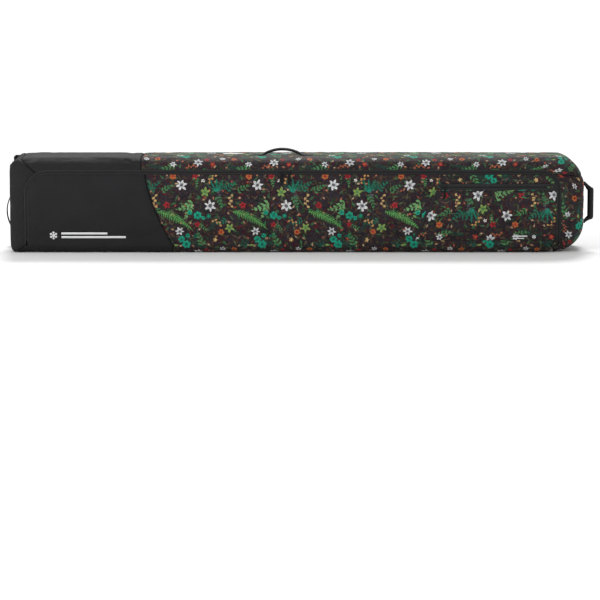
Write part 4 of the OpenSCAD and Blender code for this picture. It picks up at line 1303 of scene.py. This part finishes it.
def pocket_binding(m, trees):
    """The bound edge along the pocket's slanted seam."""
    foot, head = np.array([350.0, 0, 36]), np.array([424.5, 0, 192])
    line = foot + (head - foot) * np.linspace(0, 1, 40)[:, None]
    line = drape_front(line[None], trees, 1.7)[0]
    lean = math.atan2(head[2] - foot[2], head[0] - foot[0])
    binding = ribbon("pocket_binding", line, (math.sin(lean), 0, -math.cos(lean)), 4.0, 0.9, [m["tape"]], 5)
    finish_piece(binding, "lid")


def pocket_strip(m, trees):
    """The strip of print between the pocket's zip and the main zip."""
    bend = 738 + 43 * np.sin(np.linspace(0.2, 1.35, 5))
    x = np.concatenate([[431, 434], np.linspace(442, 738, 28), bend])
    tops = arch_top(x, -TAPE - 0.8)[:, None]
    zz = POCKET_STRIP + (tops - POCKET_STRIP) * np.linspace(0, 1, 5)
    xx = np.repeat(x[:, None], 5, 1)
    grid = drape_front(np.stack([xx, xx, zz], -1), trees, 0.5)
    grid[..., 1] -= 0.8 * smooth(np.minimum(zz - POCKET_STRIP, tops - zz) / 4)
    strip = form("pocket_top_strip", grid, grid[..., (0, 2)] + (40, 60), [m["pocket"]], 1.0, thin=0.6)
    finish_piece(strip, "lid")


def tape(name, path, offsets, m, body, node, sink):
    """A woven tape beside a coil; path rows are (x, z, outward x, outward z)."""
    outs = np.linspace(offsets[0], offsets[1], 5)
    grid = np.zeros((len(path), 5, 3))
    for k, out in enumerate(outs):
        grid[:, k, 0] = path[:, 0] + path[:, 2] * out
        grid[:, k, 2] = path[:, 1] + path[:, 3] * out
        grid[:, k, 1] = sink(grid[:, k, 0], grid[:, k, 2], abs(out))
    run = lengths(path[:, :2])
    at_cloth = np.stack([np.repeat(run[:, None], 5, 1), np.repeat(outs[None], len(path), 0)], -1)
    if grid_normals(grid)[..., 1].mean() > 0:
        grid, at_cloth = grid[:, ::-1], at_cloth[:, ::-1]
    obj = form(name, grid, at_cloth, [m["tape"]], 0.7, None, "nswe", levels=0)
    finish_piece(obj, body, (node,))


def coil(name, path, side, m, body, node, y):
    """A row of teeth: a ridge that swells and narrows every 1.3 mm."""
    n, width = len(path), COIL - 0.15
    swell = 0.28 * np.where(np.arange(n) % 2, 1, -1)
    profile = [(0.12, 0.0), (0.15, 0.75), (width * 0.5, 1.25), (width, 0.75), (width, 0.0)]
    pts, cl = [], []
    run = lengths(path[:, :2])
    for i, (px, pz, nx, nz) in enumerate(path):
        for out, up in profile:
            o = side * max(0.1, out)
            pts.append((px + nx * o, y - up * (1 + swell[i]), pz + nz * o))
            cl.append((run[i] * MM, out * MM, 0))
    obj = mesh_object(name, pts, tube_faces(n, len(profile), side < 0), [m["coil"]], cl)
    finish_piece(obj, body, (node,) if node else ())


def main_zip(m):
    def sink(x, z, out):
        rise = 0.5 * np.sin(x * 0.11 + z * 0.13)
        return front_y(x, z) + np.interp(out, [COIL, 5, TAPE + 0.6], [-0.9, -0.7, 0.3]) + 0.12 * rise

    path = arch_path(0, 6.0, STRIP_LOW + 1)
    tape("body_tape", path, (COIL, TAPE + 1.2), m, "root", "body_zip_tape", sink)
    path = arch_path(0, 6.0, HINGE_Z + 0.6)
    tape("lid_tape", path, (-COIL, -TAPE - 1.2), m, "lid", "lid_zip_tape", sink)
    path = arch_path(0, 1.3, HINGE_Z + 1)
    coil("body_coil", path, 1, m, "root", "body_zip_coil", Y_LID + 0.1)
    coil("lid_coil", path, -1, m, "lid", "lid_zip_coil", Y_LID + 0.1)


def pocket_zip(m):
    """The pocket's zip: a wide tape above and below, each with its coil."""
    low, high = (in_mm(corner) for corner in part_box("pocket_zip_tape"))
    mid, base = (low.z + high.z) / 2, high.y
    xs = np.linspace(low.x - 3, ZIP_X1 - TAPE - 2, 60)
    for name, side, nodes in (("upper", 1, ("pocket_zip_tape",)), ("lower", -1, ())):
        outs = np.linspace(COIL, POCKET_TAPE, 4)
        grid = np.zeros((len(xs), len(outs), 3))
        grid[..., 0] = xs[:, None]
        grid[..., 1] = base - 1.0 + np.interp(outs, [COIL, 5, POCKET_TAPE], [0, 0.1, 0.3])
        grid[..., 2] = mid + side * outs
        grid = grid[:, ::side]
        obj = form("pocket_tape_" + name, grid, grid[..., (0, 2)], [m["tape"]], 0.7, None, "nswe", levels=0)
        finish_piece(obj, "lid", nodes)
    xs = np.arange(low.x + 1, high.x - 1, 1.3)
    path = np.stack([xs, xs * 0 + mid, xs * 0, xs * 0 + 1], -1)
    coil("pocket_coil_upper", path, 1, m, "lid", "pocket_zip_coil", base - 0.3)
    coil("pocket_coil_lower", path, -1, m, "lid", None, base - 0.3)


def decal(name, bars, place, m, body):
    """Raised plain bars printed on cloth. Each bar is (x, z, length, width, turn in degrees)."""
    pts, faces = [], []
    for x, z, long, wide, turn in bars:
        n, k = max(2, round(long / 5) + 1), max(2, round(wide / 5) + 1)
        c, s = math.cos(math.radians(turn)), math.sin(math.radians(turn))
        base = len(pts)
        u, v = np.linspace(-long / 2, long / 2, n), np.linspace(-wide / 2, wide / 2, k)
        for lift in (0.45, -0.25):
            pts += [place(x + a * c - b * s, z + a * s + b * c, lift) for a in u for b in v]
        faces += [face for layer in closed_faces(n, k, base) for face in layer]
    obj = mesh_object(name, pts, faces, [m["mark"]])
    finish_piece(obj, body)


def snowflake(x, z, reach, thick):
    """Six arms with a pair of twigs each, as bars."""
    bars = []
    for k in range(6):
        a = math.radians(60 * k + 30)
        bars.append((x + math.cos(a) * reach / 2, z + math.sin(a) * reach / 2, reach, thick, 60 * k + 30))
        for side in (-55, 55):
            b = a + math.radians(side)
            root = reach * 0.58
            bars.append((x + math.cos(a) * root + math.cos(b) * reach * 0.17,
                         z + math.sin(a) * root + math.sin(b) * reach * 0.17, reach * 0.34, thick * 0.8,
                         60 * k + 30 + side))
    return bars


def marks(m, lid_trees, pocket_tree, top_tree):
    def front(trees):
        def place(x, z, lift):
            return (x, y_in_front(trees, x, z, Y_LID) - lift, z)
        return place

    def top(x, y, lift):
        spot = on_surface(top_tree, (x, y, 320), (0, 0, -1))
        return (x, y, (spot.z if spot else TOP) + lift)

    bars = snowflake(-744, 54, 12.5, 3.2)
    bars += [(-622, 48.5, 196, 6.5, 0), (-650, 60, 140, 6.5, 0)]
    decal("mark_on_lid", bars, front(lid_trees), m, "lid")
    bars = [(676, 52, 44, 3.4, 0), (671, 45, 34, 2.6, 0)] + snowflake(718, 50, 6.5, 1.5)
    decal("mark_on_pocket", bars, front([pocket_tree]), m, "lid")
    decal("mark_on_top", [(-200, 46, 64, 12, 0), (-206, 28, 46, 8, 0)], top, m, "root")


# ---------------------------------------------------------------- webbing and handles

def ribbon(name, centres, side, half_wide, half_thick, mats, round_off):
    """Webbing along centres: side is its width's direction, and its section runs from a flat strap
    (round_off 4 or more) to a rolled one (2). The last figures may change along it."""
    centres = np.asarray(centres, float)
    n, k = len(centres), 16
    tangent = np.gradient(centres, axis=0)
    tangent /= np.linalg.norm(tangent, axis=1, keepdims=True)
    side = np.broadcast_to(np.asarray(side, float), centres.shape)
    up = np.cross(side, tangent)
    up /= np.linalg.norm(up, axis=1, keepdims=True)
    wide, thick = np.broadcast_to(half_wide, n), np.broadcast_to(half_thick, n)
    power = 2 / np.broadcast_to(round_off, n)
    run = lengths(centres)
    pts, cl, seam = [], [], []
    for i in range(n):
        for j in range(k):
            a = TAU * j / k
            c, s = math.cos(a), math.sin(a)
            across = wide[i] * math.copysign(abs(c) ** power[i], c)
            lift = thick[i] * math.copysign(abs(s) ** power[i], s)
            pts.append(centres[i] + side[i] * across + up[i] * lift)
            cl.append((run[i] * MM, across * MM, 0))
            seam.append((wide[i] - abs(across) + 3.6, min(run[i], run[-1] - run[i]) + 2, run[i] + across))
    return rounded(mesh_object(name, pts, tube_faces(n, k), mats, cl, seam), 1)


def arch_points(middle, foot, span, rise, thick, tail, tail_lift):
    """A handle's centre line in its own plane, (along, up): flat tails, then an arch over the middle."""
    r = (span**2 / 4 + rise**2) / (2 * rise) - thick / 2
    centre = rise - thick / 2 - r
    a1 = math.acos((foot + 0.4 - centre) / r)
    arch = [(r * math.sin(a), centre + r * math.cos(a)) for a in np.linspace(-a1, a1, 25)]
    x0, y0 = arch[0]
    lead = [(x0 - tail, tail_lift), (x0 - tail * 0.66, tail_lift), (x0 - tail * 0.33, tail_lift + 0.1),
            (x0 - tail * 0.12, tail_lift + (y0 - tail_lift) * 0.25)]
    line = lead + arch + [(-a, b) for a, b in lead[::-1]]
    return [(middle + a, b) for a, b in line]


ACROSS = (0, 1, 0)


def strap(m, name, line, wide, thick, round_off, nodes=(), side=ACROSS):
    """A piece of webbing that is sewn to the body."""
    obj = ribbon(name, line, side, wide, thick, [m["webbing"]], round_off)
    finish_piece(obj, "root", nodes)


def handles(m):
    """The webbing handles over the long side and at the wheel end."""
    line = arch_points(SIDE_X, 3.2, 138, 23, 6, 36, 2.7)
    centres = [(x, 0, TOP + up) for x, up in line]
    roll = smooth((0.80 - abs(np.linspace(-1, 1, len(centres)))) / 0.16)
    obj = ribbon("side_handle_webbing", centres, ACROSS, 12 - 3.5 * roll, 1.6 + 2.9 * roll, [m["webbing"]],
                 5 - 2.8 * roll)
    at(SIDE_X, 0, TOP + 3.0)
    at(SIDE_X, 0, TOP + 9)
    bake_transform(obj)
    finish_piece(obj, None, ("side_handle",))
    line = arch_points(GRAB_Z, 2.6, 122, 22, 3.5, 26, 2.9)
    centres = [(X_END - up, 0, z) for z, up in line]
    obj = ribbon("end_handle_webbing", centres, ACROSS, 11.5, 1.2, [m["webbing"]], 5)
    at(X_END - 2.8, 0, GRAB_Z)
    at(X_END - 7.5, 0, GRAB_Z)
    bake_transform(obj)
    finish_piece(obj, None, ("grab_handle",))


def patches(m):
    """The box-stitched patches that hold the webbing handles' feet."""
    for name, x0, nodes in (("left", -152, ("handle_anchors",)), ("right", 22, ())):
        line = [(x, 0, TOP + 1.1) for x in np.linspace(x0, x0 + 34, 7)]
        strap(m, "side_patch_" + name, line, 18.5, 1.0, 7, nodes)
    for name, z0 in (("lower", 27), ("upper", 181)):
        line = [(X_END - 1.2, 0, z) for z in np.linspace(z0, z0 + 26, 6)]
        strap(m, "end_patch_" + name, line, 13, 0.9, 7)


def tow_loops(m):
    """Webbing tabs from the nose to a roll through each eye of the tow handle."""
    plan = (("tow_loop_lower", 80.5, 90.5, ("tow_anchors",)), ("tow_loop_upper", 205.5, 195.5, ()))
    for name, z_tab, z_roll, nodes in plan:
        line = [(x, 0, z_tab) for x in np.linspace(858, 884, 8)]
        strap(m, name, line, 8.0, 1.4, 6, nodes)
        line = [(882, 0, z) for z in np.linspace(z_tab, z_roll, 6)]
        strap(m, name + "_roll", line, 2.9, 2.9, 2)


def inside_straps(m):
    """Compression straps over the back lining, wavy between their sewn ends and buckles."""
    t = np.linspace(0, 1, 16)
    nodes = ("strap_webbing",)
    for side, x in (("left", -350), ("right", 350)):
        for half, z0, z1 in (("low", 20, 128), ("high", 152, 262)):
            z = z0 + (z1 - z0) * t
            buckle_free = np.where(z > 145, smooth((z - 196) / 20), 1)
            slack = 1.6 * np.sin(t * math.pi) * np.sin(t * 11) * buckle_free
            line = np.stack([np.full(16, x), 99.0 - abs(slack), z], -1)
            strap(m, f"inside_strap_{side}_{half}", line, 12.5, 0.75, 6, nodes, (1, 0, 0))
            nodes = ()


# ---------------------------------------------------------------- the rigid parts' materials

RIGID = {
    "housing": ("wheel_housing_upper", "wheel_housing_lower"),
    "rail": ("rail_upper", "rail_lower"),
    "hub": ("hub_upper", "hub_lower"),
    "tyre": ("tyre_upper", "tyre_lower"),
    "grip": ("tow_handle",),
    "pull": ("main_pull_left", "main_pull_right", "pocket_pull"),
    "slider": ("main_slider_left", "main_slider_right", "pocket_slider"),
    "screw": ("rail_screws", "housing_screws"),
    "steel": ("backing_washers", "axle_upper", "axle_lower",
              "bearings_upper", "bearings_lower"),
    "buckle": ("buckle_sockets", "buckle_plug_left", "buckle_plug_right"),
    "board": ("base_board",),
}


def dress_rigid(m):
    for look, names in RIGID.items():
        for name in names:
            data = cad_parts[name].data
            data.materials.clear()
            data.materials.append(m[look])


def build():
    m = make_materials()
    shell = relaxed_shell()
    gussets = shell_pieces(m, shell)
    lid = relaxed_lid()
    lid_trees = lid_pieces(m, lid)
    hinge_strips(m)
    back_pieces(m)
    back_inside(m)
    side_lining(m, shell)
    lid_lining(m, lid)
    pocket_tree = pocket_panel(m, lid_trees)
    pocket_binding(m, [*lid_trees, pocket_tree])
    pocket_strip(m, lid_trees)
    main_zip(m)
    pocket_zip(m)
    top_tree = [tree_of(gussets["top_gusset_print_pad"])]
    marks(m, lid_trees, pocket_tree, top_tree)
    handles(m)
    patches(m)
    tow_loops(m)
    inside_straps(m)
    dress_rigid(m)


camera()
studio()
build()
bpy.context.view_layer.update()
